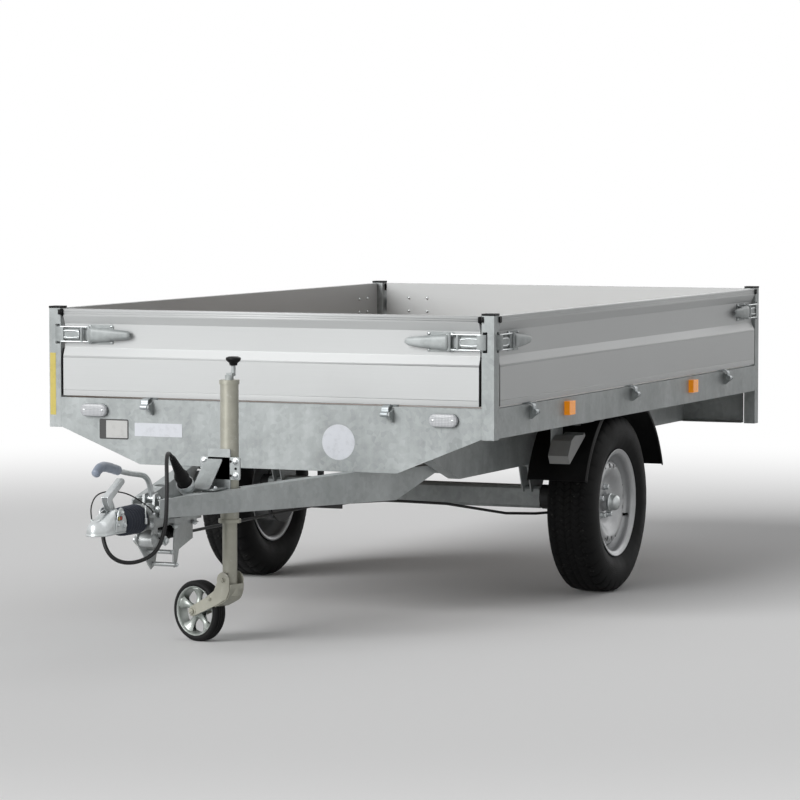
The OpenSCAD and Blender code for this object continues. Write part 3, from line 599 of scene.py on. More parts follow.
def makeBoards():
    section = boardSection()
    for k, side in sides.items():
        half = spans[k] / 2
        makePiece(side + "BoardPanel", extrudeSide(k, section, -half, half), side + "_board",
                  across if k < 2 else "aluminium", [side + "_board"], smooth=False)
        seal = np.array([(-24, 2), (-3, 2), (-3, 136), (-15, 164), (-24, 164)]) / 1000 + (0, bed["boardFoot"])
        ends = []
        for way in (-1, 1):
            a, b = sorted((way * (half + 0.0002), way * (half + 0.007)))
            ends.append(extrudeSide(k, seal, a, b))
            top = np.array([(-22, 270), (5, 279), (5, 298), (-22, 298)]) / 1000 + (0, bed["boardFoot"])
            a, b = sorted((way * (half - 0.001), way * (half + 0.0088)))
            ends.append(extrudeSide(k, top, a, b))
            lap = np.array([(0.6, 280), (5, 280), (5, 298), (0.6, 298)]) / 1000 + (0, bed["boardFoot"])
            a, b = sorted((way * (half + 0.0085), way * (half + 0.018)))
            ends.append(extrudeSide(k, lap, a, b))
        makePiece(side + "BoardEnds", join(*ends), side + "_board", "black_plastic", smooth=False)


makeBoards()
print("boards made")

# over-centre latches: base plate, cheeks, pivot, pressed lever, two rods and the hook in the post
latch = {"lever": (0.262, 0.105), "leverEnds": (0.013, 0.027), "rod": 0.003}


def latchParts(k, way):
    e, z = spans[k] / 2, bed["latchHeight"]

    def at(x, y, dz):                            # the latch's own place: y back from the board's end
        p = np.stack(np.broadcast_arrays(np.asarray(x, float), way * (e - np.asarray(y, float)),
                                         z + np.asarray(dz, float)), -1)
        return toSide(k, p)

    def flat(outline, thick, edge, x0):          # a plate that lies on the board
        outline = np.asarray(outline, float)
        middle = outline.mean(0)
        reach = np.abs(outline - middle).max(0)
        inset = np.array([0.0, 0.0, edge])
        lift = np.array([0.0, thick - edge, thick])
        rows = middle + (outline - middle)[None] * (1 - inset[:, None] / reach[None])[:, None]
        return grid(at(x0 + lift[:, None], rows[..., 0], rows[..., 1]), False, True, True)

    out = at(1, 0, 0) - at(0, 0, 0)
    base = [flat(roundedOutline(0.098, 0.068, 0.006) + (0.141, 0), 0.0026, 0.0008, -0.0129),
            flat(roundedOutline(0.16, 0.044, 0.004) + (0.086, 0), 0.004, 0.001, -0.0129)]
    screws = [disc(0.0048, 0.0016, at(-0.0104, y, dz), out, 16, 0.0016) for y in (0.182,
                                                                                  0.1) for dz in (-0.027,
                                                                                                  0.027)]
    for dz in (-0.0205, 0.0205):                 # cheeks, then the rods of the bail
        cheek = np.array([(0.17, -0.010), (0.168, 0.0), (0.12, 0.008), (0.09, 0.008), (0.084, 0.0),
                          (0.08, -0.010)])
        rows = np.stack([at(cheek[:, 1], cheek[:, 0], dz + t) for t in (-0.0013, 0.0013)])
        base.append(grid(rows, False, True, True))
    rods = []
    for dz in (-0.0255, 0.0255):
        y = np.array([0.112, 0.06, 0.02, -0.006, -0.016])
        x = np.array([0.003, 0.004, 0.005, 0.005, 0.003])
        rods.append(tube(at(x, y, dz + y * 0), latch["rod"], 10))
    a = np.linspace(0, 2 * math.pi, 28, endpoint=False)
    stadium = np.stack([np.clip(np.cos(a) * 1.6, -1, 1) * 0.034 + 0.03, np.sin(a) * 0.012], -1)
    loop = sweep(ringProfile(0.0022, 8), at(0.0045 + stadium[:, 0] * 0, stadium[:, 0], stadium[:, 1]), out,
                 True)
    pivot = turned([(0, -0.029), (0.0055, -0.029), (0.0065, -0.027), (0.0065, 0.027), (0.0055, 0.029),
                    (0, 0.029)],
                   at(0.004, 0.104, 0), (0, 0, 1), 20)
    middlePin = bar(0.0048, -0.024, 0.024, at(0.005, 0.074, 0), (0, 0, 1), 16)
    tongue = flat(roundedOutline(0.066, 0.034, 0.004) + (0.03, 0), 0.0025, 0.0008, 0.001)
    hookSection = np.array([(0.008, 0.0045), (0.0085, -0.026), (-0.011, -0.026), (-0.011, -0.0225),
                            (0.0048, -0.0225),
                            (0.0045, 0.0045)])
    rise = np.array([-0.026, -0.023, 0.023, 0.026])
    shrink = np.array([0.9, 1.0, 1.0, 0.9])
    mid = hookSection.mean(0)
    rows = mid + (hookSection - mid)[None] * shrink[:, None, None]
    hook = grid(at(rows[..., 0], rows[..., 1], rise[:, None]), False, True, True)

    # lever: a crowned channel whose half width runs from the narrow free end to the pivot
    t = np.linspace(0, 1, 15)[:, None]
    s = np.linspace(-1, 1, 13)[None]
    far, near = latch["lever"]
    y = far + (near - far) * t + s * 0
    wide = (latch["leverEnds"][0] + (latch["leverEnds"][1] - latch["leverEnds"][0]) * t ** 0.9)
    wide = wide * np.clip(1 - (1 - np.clip(t / 0.07, 0, 1)) ** 2, 0.35, 1) ** 0.5
    top = 0.0125 + 0.0035 * np.sin(math.pi * np.clip(t, 0, 1) ** 0.8) - 0.004 * (1 - t) ** 3
    x = top - 0.0085 * np.abs(s) ** 5 + 0.0012 * (1 - s ** 2)
    outer = at(x, y, s * wide)
    inner = at(x - 0.0022, y + 0 * x, s * wide * 0.94)
    ringRows = np.concatenate([outer, inner[:, ::-1]], 1)
    lever = grid(ringRows, False, True, True)
    return {"steel": base + [pivot, middlePin, tongue, hook, lever], "wire": rods + [loop], "screws": screws}


# hinges on the boards: a strap from under the board, curled round the pin
def hingeParts(k, v):
    strapPath = np.array([(-0.018, 0.7551), (0.004, 0.7551), (0.014, 0.7545), (0.0205, 0.7515),
                          (0.0235, 0.746),
                          (0.0238, 0.7405), (0.0245, 0.7355)])
    t = np.arange(len(strapPath))
    fine = np.linspace(0, len(t) - 1, 22)
    line = np.stack([np.interp(fine, t, strapPath[:, i]) for i in (0, 1)], -1)
    way = unit(np.gradient(line, axis=0))
    normal = np.stack([-way[:, 1], way[:, 0]], -1)
    rows = np.concatenate([line + normal * 0.0018, (line - normal * 0.0018)[::-1]])
    along = np.array([-0.013, -0.012, 0.012, 0.013])
    thin = np.array([0.985, 1.0, 1.0, 0.985])
    mid = rows.mean(0)
    sect = mid + (rows - mid)[None] * thin[:, None, None]
    points = np.stack([sect[..., 0], v + along[:, None] + 0 * sect[..., 0], sect[..., 1]], -1)
    strap = grid(toSide(k, points), False, True, True)
    centre = toSide(k, np.array([bed["hingeOut"], v, bed["hingeHeight"]]))
    axis = toSide(k, np.array([0.0, 1.0, 0.0])) - toSide(k, np.array([0.0, 0.0, 0.0]))
    eye = turned([(0.0051, -0.013), (0.0082, -0.013), (0.009, -0.0122), (0.009, 0.0122), (0.0082, 0.013),
                  (0.0051, 0.013)],
                 centre, axis, 32, True)
    low = np.stack([np.array([-0.014, -0.004, -0.004, -0.014]), v + np.array([0.013, 0.013, 0.034, 0.034]),
                    np.full(4, 0.7533)], -1)
    flange = grid(toSide(k, np.stack([low, low + (0, 0, 0.0038)])), False, True, True)
    return [strap, eye, flange]


def makeFittings():
    for k, side in sides.items():
        steel, rods, screws = [], [], []
        for way in (-1, 1):
            made = latchParts(k, way)
            steel, rods, screws = steel + made["steel"], rods + made["wire"], screws + made["screws"]
        body = side + "_board"
        makePiece(side + "Latches", join(*steel), body, "galvanised_steel", [side + "_fittings"])
        makePiece(side + "LatchRods", join(*rods, *screws), body, "zinc_plate")
        hinges = [part for v in hingeSpots[k] for part in hingeParts(k, v)]
        makePiece(side + "HingeStraps", join(*hinges), body, hingeZinc)
        inside = []
        for way in (-1, 1):                      # latch bolts seen on the board's inner face
            for y, z in ((0.182, 0.027), (0.182, -0.027), (0.1, 0.027), (0.1, -0.027)):
                p = toSide(k, np.array([-0.0249, way * (spans[k] / 2 - y), bed["latchHeight"] + z]))
                inward = toSide(k, np.array([-1.0, 0, 0])) - toSide(k, np.zeros(3))
                inside.append(disc(0.006, 0.0015, p, inward, 16, 0.003))
        makePiece(side + "InnerBolts", join(*inside), body, "zinc_plate")


makeFittings()
print("latches and hinges made")


# road tyres: the section goes round, with V grooves and cuts across the shoulders
tyre = {"cuts": 35, "cutHalf": 0.0055, "cutDepth": 0.009}


def tyreSurface():
    half = [(-66, 181), (-72, 197), (-89.5, 226), (-92.5, 253), (-88.5, 283), (-79, 307), (-66, 320.3),
            (-49, 323.6), (-45, 316.2), (-41, 324.2), (-16, 325), (-12, 317.2), (-8, 325)]
    ring = np.array(half + [(-y, r) for y, r in half[::-1]] + [(58, 199), (-58, 199)], float) / 1000
    pitch = 2 * math.pi / tyre["cuts"]
    part = tyre["cutHalf"] / wheel["radius"]
    a = (np.arange(tyre["cuts"])[:, None] * pitch + np.array([-part, 0, part])[None]).ravel()
    cut = np.tile([0.0, 1.0, 0.0], tyre["cuts"])
    shoulder = np.isin(np.arange(len(ring)), (5, 6, 7, 18, 19, 20)).astype(float)
    r = ring[None, :, 1] - cut[:, None] * shoulder[None] * tyre["cutDepth"]
    return a, np.broadcast_to(ring[None, :, 0], r.shape), r


# pressed rims: barrel and dished disc as one wall thick sheets, with pairs of openings through the disc
rim = {"barrel": [(195, -77), (183, -73), (177, -66), (176, -50), (162, -31), (160, -8), (160, 20),
                  (175, 44), (176, 62),
                  (181, 71), (189, 73.5), (195, 77)],
       "disc": [(31, 24), (66, 24), (80, 26), (93, 33), (105, 42), (118, 48), (130, 50), (142, 47), (151, 38),
                (156.5, 26), (158, 13)],
       "openRows": (17, 18, 19, 20), "openColumns": (2, 3, 26, 27), "steps": 120, "wall": 0.0035}


def makeRims():
    for side, way in (("left", 1), ("right", -1)):
        place, out = np.array([wheel["x"], way * wheel["y"], wheel["z"]]), (0, way, 0)
        points, blocks = turned(smoothLine(rim["disc"], 3) / 1000, place, out, rim["steps"],
                                phase=math.radians(-5))
        order = np.arange(len(blocks[0]))
        opening = (np.isin(order // rim["steps"], rim["openRows"])
                   & np.isin(order % rim["steps"] % 30, rim["openColumns"]))
        parts = [(points, [blocks[0][~opening]]),
                 turned(smoothLine(rim["barrel"], 2) / 1000, place, out, rim["steps"])]
        made = makePiece(side + "RimPressed", join(*parts), "wheel_" + side, "wheel_silver",
                         ["rim_" + side])
        wall = made.modifiers.new("wall", "SOLIDIFY")
        wall.thickness, wall.offset = rim["wall"], 0.0


makeRims()


def makeWheels():
    a, y, r = tyreSurface()
    for side, way in (("left", 1), ("right", -1)):
        points = np.stack([wheel["x"] + r * np.cos(a)[:, None], way * (wheel["y"] + y),
                           wheel["z"] + r * np.sin(a)[:, None]], -1)
        makePiece(side + "TyreTread", grid(points, True, True), "wheel_" + side, "tyre_rubber",
                  ["tyre_" + side], smooth=False)
        out = np.array([0, way, 0], float)
        face = np.array([wheel["x"], way * (wheel["y"] + 0.0255), wheel["z"]])
        nuts = []
        for i in range(5):
            b = math.radians(90 + 72 * i)
            place = face + np.array([math.cos(b), 0, math.sin(b)]) * 0.056
            nuts.append(turned([(0, 0), (0.0125, 0), (0.0125, 0.003), (0.0095, 0.006), (0.0095, 0.016),
                                (0.0085, 0.018), (0.004, 0.0185), (0.0035, 0.016), (0, 0.016)], place, out,
                               18))
        makePiece(side + "WheelBolts", join(*nuts), "wheel_" + side, "zinc_plate")
        cap = [(0, 0.031), (0.012, 0.0308), (0.021, 0.0285), (0.0265, 0.0235), (0.029, 0.016),
               (0.0295, 0.004),
               (0.0335, 0.0025), (0.0345, 0.0), (0.0335, -0.006), (0, -0.006)]
        tip = np.array([wheel["x"], way * (wheel["y"] + 0.022 + 0.03), wheel["z"]])
        makePiece(side + "HubCap", turned(cap, tip, out, 40), "wheel_" + side, "zinc_plate")
        holeShades = []
        for i in range(8):                       # small holes round the wheel's disc, drawn as black discs: painted shade in the holes
            b = math.radians(22.5 + 45 * i)
            place = np.array([wheel["x"] + 0.137 * math.cos(b), way * (wheel["y"] + 0.0493),
                              wheel["z"] + 0.137 * math.sin(b)])
            holeShades.append(disc(0.0042, 0.0016, place, out, 14))
        makePiece(side + "DiscHoleShades", join(*holeShades), "wheel_" + side, "black_plastic")
        b = math.radians(200)
        stem = np.array([wheel["x"] + 0.166 * math.cos(b), way * (wheel["y"] + 0.05),
                         wheel["z"] + 0.166 * math.sin(b)])
        lean = unit(np.array([-0.35 * math.cos(b), way, -0.35 * math.sin(b)]))
        valve = turned([(0, -0.006), (0.0055, -0.006), (0.0045, 0.001), (0.0038, 0.005), (0.0046, 0.006),
                        (0.0046, 0.011),
                        (0.003, 0.013), (0, 0.013)], stem, lean, 14)
        makePiece(side + "Valve", valve, "wheel_" + side, "black_plastic")


makeWheels()
print("wheels made")


# bellows: seven pleats whose crests and valleys are rounded, tapering to the head
def makeBellows():
    pleats, length = 7, 0.116
    t = np.linspace(0, 1, pleats * 10 + 1)
    swell = 0.044 - 0.002 * t + 0.0032 * np.sin(2 * math.pi * (pleats * t - 0.25))
    swell = swell - 0.004 * np.clip((t - 0.9) / 0.1, 0, 1)
    outer = np.stack([swell, 0.002 + t * length], -1)
    profile = np.concatenate([[(0.028, 0.0), (0.042, 0.0)], outer, [(0.033, 0.1185), (0.028, 0.1185)]])
    place = (drawbar["flange"], 0, drawbar["shaft"])
    makePiece("pleatedBellows", turned(profile, place, (1, 0, 0), 64, True), "chassis", "bellows_rubber",
              ["bellows"])


makeBellows()


# coupling head: a pressed shell over the ball, one arched section after another, open for the handle on top
head = {"x": 1219, "z": 432, "ball": 33, "half": 36, "arch": (90, 84, 76, 66, 54, 40, 26, 14, 0),
        "neck": ((-15, 33, 37.5, 2.4), (-30, 32.5, 43.5, 2.8), (-45, 32, 50, 3.2), (-62, 31.5, 57, 3.6),
                 (-80, 31, 60, 4), (-100, 31, 58.5, 4), (-114, 31, 50, 4), (-125, 31, 40, 4))}


def archSection(x, half, top, power, rimX, rimHalf):
    a = np.radians(head["arch"] + tuple(-v for v in head["arch"][-2::-1]))
    y = half * np.sign(np.sin(a)) * np.abs(np.sin(a)) ** (2 / power)
    z = -12 + (top + 12) * np.abs(np.cos(a)) ** (2 / power)
    rows = np.stack([x + 0 * a, y, z], -1)
    skirt = np.array([[rimX, rimHalf, -17], [rimX, rimHalf, -13.5],
                      [(x + rimX) / 2, (half + rimHalf) / 2, -12.5]])
    return np.concatenate([skirt, rows, (skirt * (1, -1, 1))[::-1]])


def makeHead():
    h = head
    sections = [archSection(h["ball"] * math.cos(t), h["ball"] * math.sin(t), h["ball"] * math.sin(t), 2.2,
                            h["half"] * math.cos(t), h["half"] * math.sin(t))
                for t in np.linspace(0, math.pi / 2, 10)]
    sections += [archSection(x, half, top, power, x, h["half"]) for x, half, top, power in h["neck"]]
    rows = np.stack(sections)
    middle = rows.shape[1] // 2
    points, blocks = grid(spot(h["x"], 0, h["z"]) + rows / 1000)
    columns = rows.shape[1] - 1
    order = np.arange(len(blocks[0]))
    opening = np.isin(order % columns, (middle - 1, middle)) & (order // columns >= 12) & (order // columns < 16)
    shell = makePiece("headShell", (points, [blocks[0][~opening]]), "chassis", "zinc_plate",
                      ["coupling_head"])
    wall = shell.modifiers.new("wall", "SOLIDIFY")
    wall.thickness, wall.offset = 0.0032, -1.0
    shell.modifiers.move(shell.modifiers.find("even"), len(shell.modifiers) - 1)
    cheek = smoothLine([(-58, -12), (-66, 16), (-77, 48), (-85, 60), (-97, 63.5), (-108, 58), (-114, 44),
                        (-124, 34),
                        (-131, 18), (-131, 0), (-128, -12)], 4) / 1000
    parts = []
    for way in (1, -1):
        u = (-way, 0, 0)
        parts.append(plate(cheek * (-way, 1), 0.004, 0.0012, spot(h["x"], way * 30.5, h["z"]), u, (0, 0, 1)))
        parts += [bolt(spot(h["x"] - 112, way * 34, h["z"] + 7), (0, way, 0), 0.0085),
                  bolt(spot(h["x"] - 97, way * 34, h["z"] + 48), (0, way, 0), 0.0075),
                  disc(0.0048, 0.004, spot(h["x"] - 76, way * 34, h["z"] + 10), (0, way, 0), 16, 0.0015)]
    inner = [(0.0253, -0.017), (0.0253, 0.0)] + [(0.0253 * math.cos(a), 0.0253 * math.sin(a))
                                                for a in np.linspace(0.2, math.pi / 2, 7)]
    cup = inner + [(0, 0.029), (0.012, 0.0285), (0.022, 0.022), (0.0285, 0.008), (0.0295, 0.0),
                   (0.0295, -0.017)]
    parts.append(turned(cup, spot(h["x"], 0, h["z"]), (0, 0, 1), 40, True))
    parts.append(bar(0.024, -0.01, 0.07, spot(1056, 0, 445), (1, 0, 0), 32))
    parts.append(bar(0.0055, 0, 0.062, spot(h["x"] - 96, -31, h["z"] + 48), (0, 1, 0), 16))
    makePiece("headCheeks", join(*parts), "chassis", "zinc_plate", bevel=0.0004)
    window = roundedOutline(0.034, 0.014, 0.006)
    makePiece("wearWindow", plate(window, 0.0006, 0.0002, spot(h["x"] - 86, 34.4, h["z"] + 31), (-1, 0, 0),
                                  (0, 0, 1)),
              "chassis", blackFilm)
    for name, x, paint in (("wearGood", 80, yellow), ("wearEnd", 93, redDot)):
        makePiece(name, disc(0.006, 0.0008, spot(h["x"] - x, 34.8, h["z"] + 31), (0, 1, 0), 20, 0.0012),
                  "chassis", paint)


makeHead()


# handbrake: a bent bar with a drooping grip whose ends are rounded
def makeHandbrake():
    lever = spotLine([(850, 0, 503), (857, 0, 527), (867, 0, 549), (881, 0, 565), (902, 0, 576),
                      (930, 0, 582),
                      (980, 0, 589), (1030, 0, 597), (1080, 0, 606.5)])
    pin = turned([(0, -0.026), (0.008, -0.026), (0.009, -0.025), (0.009, 0.025), (0.008, 0.026), (0, 0.026)],
                 spot(850, 0, 501), (0, 1, 0), 24)
    makePiece("handbrakeBar", join(tube(lever, 0.0088, 20, (0, 1, 0)), pin), "chassis",
              "zinc_plate", ["handbrake_lever"])
    grip = spotLine([(1074, 0, 605.5), (1090, 0, 610), (1105, 0, 613), (1135, 0, 620), (1165, 0, 625),
                     (1192, 0, 625), (1214, 0, 617), (1232, 0, 603)])
    t = np.linspace(0, 1, len(grip))
    swell = 0.9 + 0.06 * np.sin(t * math.pi) + 0.025 * np.sin(t * 34)
    swell *= np.sqrt(np.clip(1 - np.clip((0.05 - t) / 0.05, 0, 1) ** 2 * 0.75, 0, 1))
    swell *= np.sqrt(np.clip(1 - np.clip((t - 0.94) / 0.06, 0, 1) ** 2 * 0.96, 0.02, 1))
    oval = ringProfile(0.0155, 24) * (1.06, 0.98)
    makePiece("handbrakeGrip", sweep(oval, grip, (0, 1, 0), scale=swell), "chassis",
              "grip_plastic", ["handbrake_grip"])


makeHandbrake()


# gear about the shaft: safety hook, crimps, flange bolts, damper and the collar that parks the plug
def makeDrawbarGear():
    hook = spotLine([(930, 44, 462), (938, 48, 474), (950, 52, 487), (962, 53, 494), (974, 53, 496),
                     (986, 52, 496),
                     (993, 52, 490), (996, 53, 478), (997, 54, 464), (997, 55, 450)])
    tail = spotLine([(930, 44, 462), (944, 50, 470), (960, 52, 480), (978, 52, 492)])
    wires = [tube(hook, 0.0021, 10), tube(tail, 0.0021, 10)]
    crimps = [turned([(0, 0), (0.0042, 0), (0.0046, 0.002), (0.0046, 0.016), (0.0042, 0.018), (0, 0.018)],
                     spot(x, y, z), way, 14) for x, y, z, way in
              ((997, 55, 452, (0, 0, -1)), (931, 45, 462, (0.6, 0.55, -0.1)), (1188, -34.5, 462, (0, 0, -1)))]
    makePiece("safetyHook", join(*wires, *crimps), "chassis", "zinc_plate")
    parts = []
    for x in (645, 785):                         # the housing's clamping bolts beside the beams
        for y in (-50, 50):
            parts += [bolt(spot(x, y, 476.5), (0, 0, 1), 0.0095), bolt(spot(x, y, 411.5), (0, 0, -1), 0.0095)]
    for y in (-52, 52):
        parts += [bolt(spot(956.5, y, 428), (1, 0, 0), 0.0075),
                  bolt(spot(893, y * 0.84, 470), (1, 0, 0), 0.0068)]
    for y in (-1, 1):
        parts += [bolt(spot(856, y * 49.5, 367), (0, y, 0), 0.011),
                  bolt(spot(810, y * 49.5, 327), (0, y, 0), 0.0055),
                  bolt(spot(775, y * 49.5, 283), (0, y, 0), 0.0055),
                  bolt(spot(850, y * 25.5, 501), (0, y, 0), 0.0065)]
    parts.append(turned([(0.0255, -0.012), (0.0285, -0.012), (0.0285, 0.004), (0.0255, 0.004)],
                        spot(703, 45, 537), (1, 0, 1), 40, True))
    makePiece("gearBolts", join(*parts), "chassis", "zinc_plate")
    damper = [(0.0, 0.0), (0.0175, 0.0), (0.0205, 0.004)]
    for i in range(8):
        damper += [(0.0212, 0.008 + i * 0.014), (0.0212, 0.013 + i * 0.014), (0.0198, 0.0145 + i * 0.014),
                   (0.0198, 0.0205 + i * 0.014)]
    damper += [(0.0205, 0.124), (0.0175, 0.128), (0.0, 0.128)]
    makePiece("damperSleeve", turned(damper, spot(662, 0, 383), (1, 0, 0), 36), "chassis", "black_plastic")


makeDrawbarGear()


# longitudinal rails: channels open inwards, 48 mm shallower behind the axle than the solids
rail = {"outer": 516, "flange": (0.476, 0.518), "thick": 0.004,
        "foot": [(-200, 560), (-460, 475), (-1650, 475), (-1765, 523), (-2827, 523)]}


def makeRails():
    foot, thick, (inner, outer) = rail["foot"], rail["thick"], rail["flange"]
    outline = np.array([(-2827, 655), (-160, 655)] + foot)
    parts = []
    for way in (1, -1):
        parts.append(plate(outline * (-way, 1) / 1000, thick, 0.0006, spot(0, way * rail["outer"], 0),
                           (-way, 0, 0), (0, 0, 1)))
        low = np.array(foot, float) / 1000 + (bed["front"], 0)
        top = np.array([(-2827, 651), (-162, 651)], float) / 1000 + (bed["front"], 0)
        parts += [sheet(row, way * inner, way * outer, thick) for row in (low, top[::-1])]
    makePiece("longRails", join(*parts), "chassis", "galvanised_steel", ["frame_rails"], smooth=False)


# brake lever bracket: a long far plate, a short near plate and the lever's boss between them
bracket = {"pivot": (830, 445), "side": 36, "thick": 0.005, "edge": 0.001}


def makeBracket():
    side, thick, edge = bracket["side"], bracket["thick"], bracket["edge"]
    far = np.array([(-20, -24), (44, -48), (60, -78), (-46, -180), (-74, -168), (-90, -118), (-190, -90),
                    (-190, -24)])
    near = np.array([(-190, -24), (-66, -24), (-60, -64), (-52, -150), (-60, -172), (-74, -164),
                     (-90, -116), (-190, -88)])
    far, near = far + bracket["pivot"], (near + bracket["pivot"]) * (-1, 1)
    parts = [plate(far / 1000, thick, edge, spot(0, -side, 0), (1, 0, 0), (0, 0, 1)),
             plate(near / 1000, thick, edge, spot(0, side, 0), (-1, 0, 0), (0, 0, 1))]
    boss = [(0, -0.046), (0.0205, -0.046), (0.0215, -0.044), (0.0215, 0.012), (0.0205, 0.014), (0.016, 0.014),
            (0.016, 0.018), (0.009, 0.018), (0.009, 0.024), (0, 0.024)]
    parts.append(turned(boss, spot(856, 0, 367), (0, 1, 0), 32))
    for x, z in ((810, 327), (775, 283)):
        parts.append(bar(0.007, -0.046, 0.046, spot(x, 0, z), (0, 1, 0), 18))
    arm = roundedOutline(0.03, 0.15, 0.0145) @ np.array([[0.94, -0.34], [0.34, 0.94]])
    parts.append(plate(arm, 0.006, 0.0012, spot(836, 6, 432), (-1, 0, 0), (0, 0, 1)))
    parts.append(bar(0.012, -0.012, 0.15, spot(654, 0, 383), (1, 0, 0), 20))
    parts.append(plate(roundedOutline(0.072, 0.048, 0.004), 0.005, 0.0008, spot(640, 0, 379), (0, 1, 0),
                       (0, 0, 1)))
    makePiece("brakeBracket", join(*parts), "chassis", "cast_steel", ["brake_bracket"])


# clamp of the jockey tube: bolted front plate, loop about the tube, inclined sheet, web and foot
clamp = {"x": 552, "thick": 0.006, "boltRows": (554, 600), "boltApart": 56}


def makeClamp():
    x, y = clamp["x"], jockey["y"] * 1000
    front = roundedOutline(0.142, 0.074, 0.006)
    parts = [plate(front, clamp["thick"], 0.001, spot(x, y - 16, 577), (0, 1, 0), (0, 0, 1))]
    a = np.linspace(math.pi / 2, 3 * math.pi / 2, 13)
    ring = np.stack([np.cos(a), np.sin(a)], -1)
    loop = np.concatenate([[(32, 36)], ring * 36, [(32, -36)], [(32, -31.5)], (ring * 31.5)[::-1],
                           [(32, 31.5)]]) / 1000
    parts.append(plate(loop[::-1], 0.058, 0.0006, spot(520, y, 548), (1, 0, 0), (0, 1, 0)))
    line = np.array([(560, 607), (561, 601), (644, 526), (652, 520.5), (662, 519.5)],
                    float) / 1000 + (bed["front"], 0)
    parts.append(sheet(line, (y - 70) / 1000, (y - 8) / 1000, 0.004))
    web = np.array([(558, 590), (640, 517), (558, 517)]) / 1000
    parts.append(plate(web * (-1, 1), 0.005, 0.0008, spot(0, y - 50, 0), (-1, 0, 0), (0, 0, 1)))
    parts.append(plate(roundedOutline(0.08, 0.13, 0.004), clamp["thick"], 0.0008, spot(x, y - 20, 575),
                       (0, 1, 0), (0, 0, 1)))
    parts.append(plate(roundedOutline(0.112, 0.07, 0.004), 0.006, 0.001, spot(596, y - 25, 511.2),
                       (1, 0, 0), (0, 1, 0)))
    makePiece("tubeClamp", join(*parts), "chassis", "galvanised_steel", ["jockey_clamp"])
    bolts = []
    for way in (-1, 1):
        for z in clamp["boltRows"]:
            row = y - 16 + way * clamp["boltApart"]
            bolts += [bolt(spot(x + 6, row, z), (1, 0, 0), 0.0085),
                      disc(0.0078, 0.003, spot(x + 6.5, row, z), (1, 0, 0), 18, 0.0065)]
    bolts += [bolt(spot(630, y + dy, 517), (0, 0, 1), 0.007) for dy in (-66, 2)]
    makePiece("clampBolts", join(*bolts), "chassis", "zinc_plate")
    # black discs on the clamp's face where its holes are: painted shade in the holes
    holeShades = [disc(0.0045, 0.0004, spot(x + 6.2, y + dy, z), (1, 0, 0), 16)
             for dy, z in ((22, 600), (22, 554), (-72, 577), (40, 577))]
    makePiece("clampHoleShades", join(*holeShades), "chassis", "black_plastic")


makeRails()
makeBracket()
makeClamp()
print("drawbar gear made")


# jockey wheel: pressed five arm rim, thin ribbed tyre
def trailing(points):
    c, s = math.cos(jockey["turn"]), math.sin(jockey["turn"])
    x, y = points[..., 0], points[..., 1]
    return np.stack([jockey["x"] + c * x - s * y, jockey["y"] + s * x + c * y, points[..., 2]], -1)


def makeJockeyWheel():
    hub = (jockey["trail"], 0, jockey["radius"])
    barrel = turned([(0.0815, -0.0245), (0.0815, -0.0205), (0.0765, -0.0165), (0.0765, 0.0165),
                     (0.0815, 0.0205),
                     (0.0815, 0.0245), (0.0795, 0.0245), (0.0735, 0.0175), (0.0735, -0.0175),
                     (0.0795, -0.0245)],
                    hub, (0, 1, 0), 72, True)
    core = turned([(0.0075, -0.0262), (0.0125, -0.0262), (0.0135, -0.025), (0.0145, -0.008), (0.0145, 0.008),
                   (0.0135, 0.025), (0.0125, 0.0262), (0.0075, 0.0262)], hub, (0, 1, 0), 32, True)
    t = np.linspace(0, 1, 12)[:, None]
    s = np.linspace(-1, 1, 9)[None]
    arms = []
    for face in (-1, 1):
        for i in range(5):
            b = math.radians(72 * i + 18)
            r = 0.012 + 0.064 * t + 0 * s
            wide = 0.013 - 0.004 * np.sin(math.pi * t) + 0.016 * t ** 4
            lift = 0.0215 - 0.0135 * np.sin(math.pi * np.clip(t, 0,
                                                              1)) ** 0.8 - 0.006 * np.abs(s) ** 2 + 0.001
            sideways = s * wide
            outer = np.stack([hub[0] + r * math.cos(b) - sideways * math.sin(b), face * lift,
                              hub[2] + r * math.sin(b) + sideways * math.cos(b)], -1)
            inner = np.stack([hub[0] + r * math.cos(b) - sideways * math.sin(b), face * (lift - 0.002),
                              hub[2] + r * math.sin(b) + sideways * math.cos(b)], -1)
            arms.append(grid(np.concatenate([outer, inner[:, ::-1]], 1), False, True, True))
    part = moved(join(barrel, core, *arms), trailing)
    makePiece("jockeyRimPressed", part, "jockey_wheel", smallRim, ["jockey_rim"])
    rows = [(0.0768, -0.0145), (0.0815, -0.018), (0.0822, -0.0246), (0.0905, -0.0249), (0.0955, -0.0225),
            (0.0985, -0.0175)]
    for y in (-0.0135, -0.0045, 0.0045, 0.0135):
        rows += [(0.0996, y - 0.0022), (0.0972, y - 0.0008), (0.0972, y + 0.0008), (0.0996, y + 0.0022)]
    rows += [(r, -y) for r, y in rows[5::-1]]
    rubber = moved(turned(rows, hub, (0, 1, 0), 84, True), trailing)
    makePiece("jockeyTyreRibbed", rubber, "jockey_wheel", smallRubber, ["jockey_tyre"])


makeJockeyWheel()


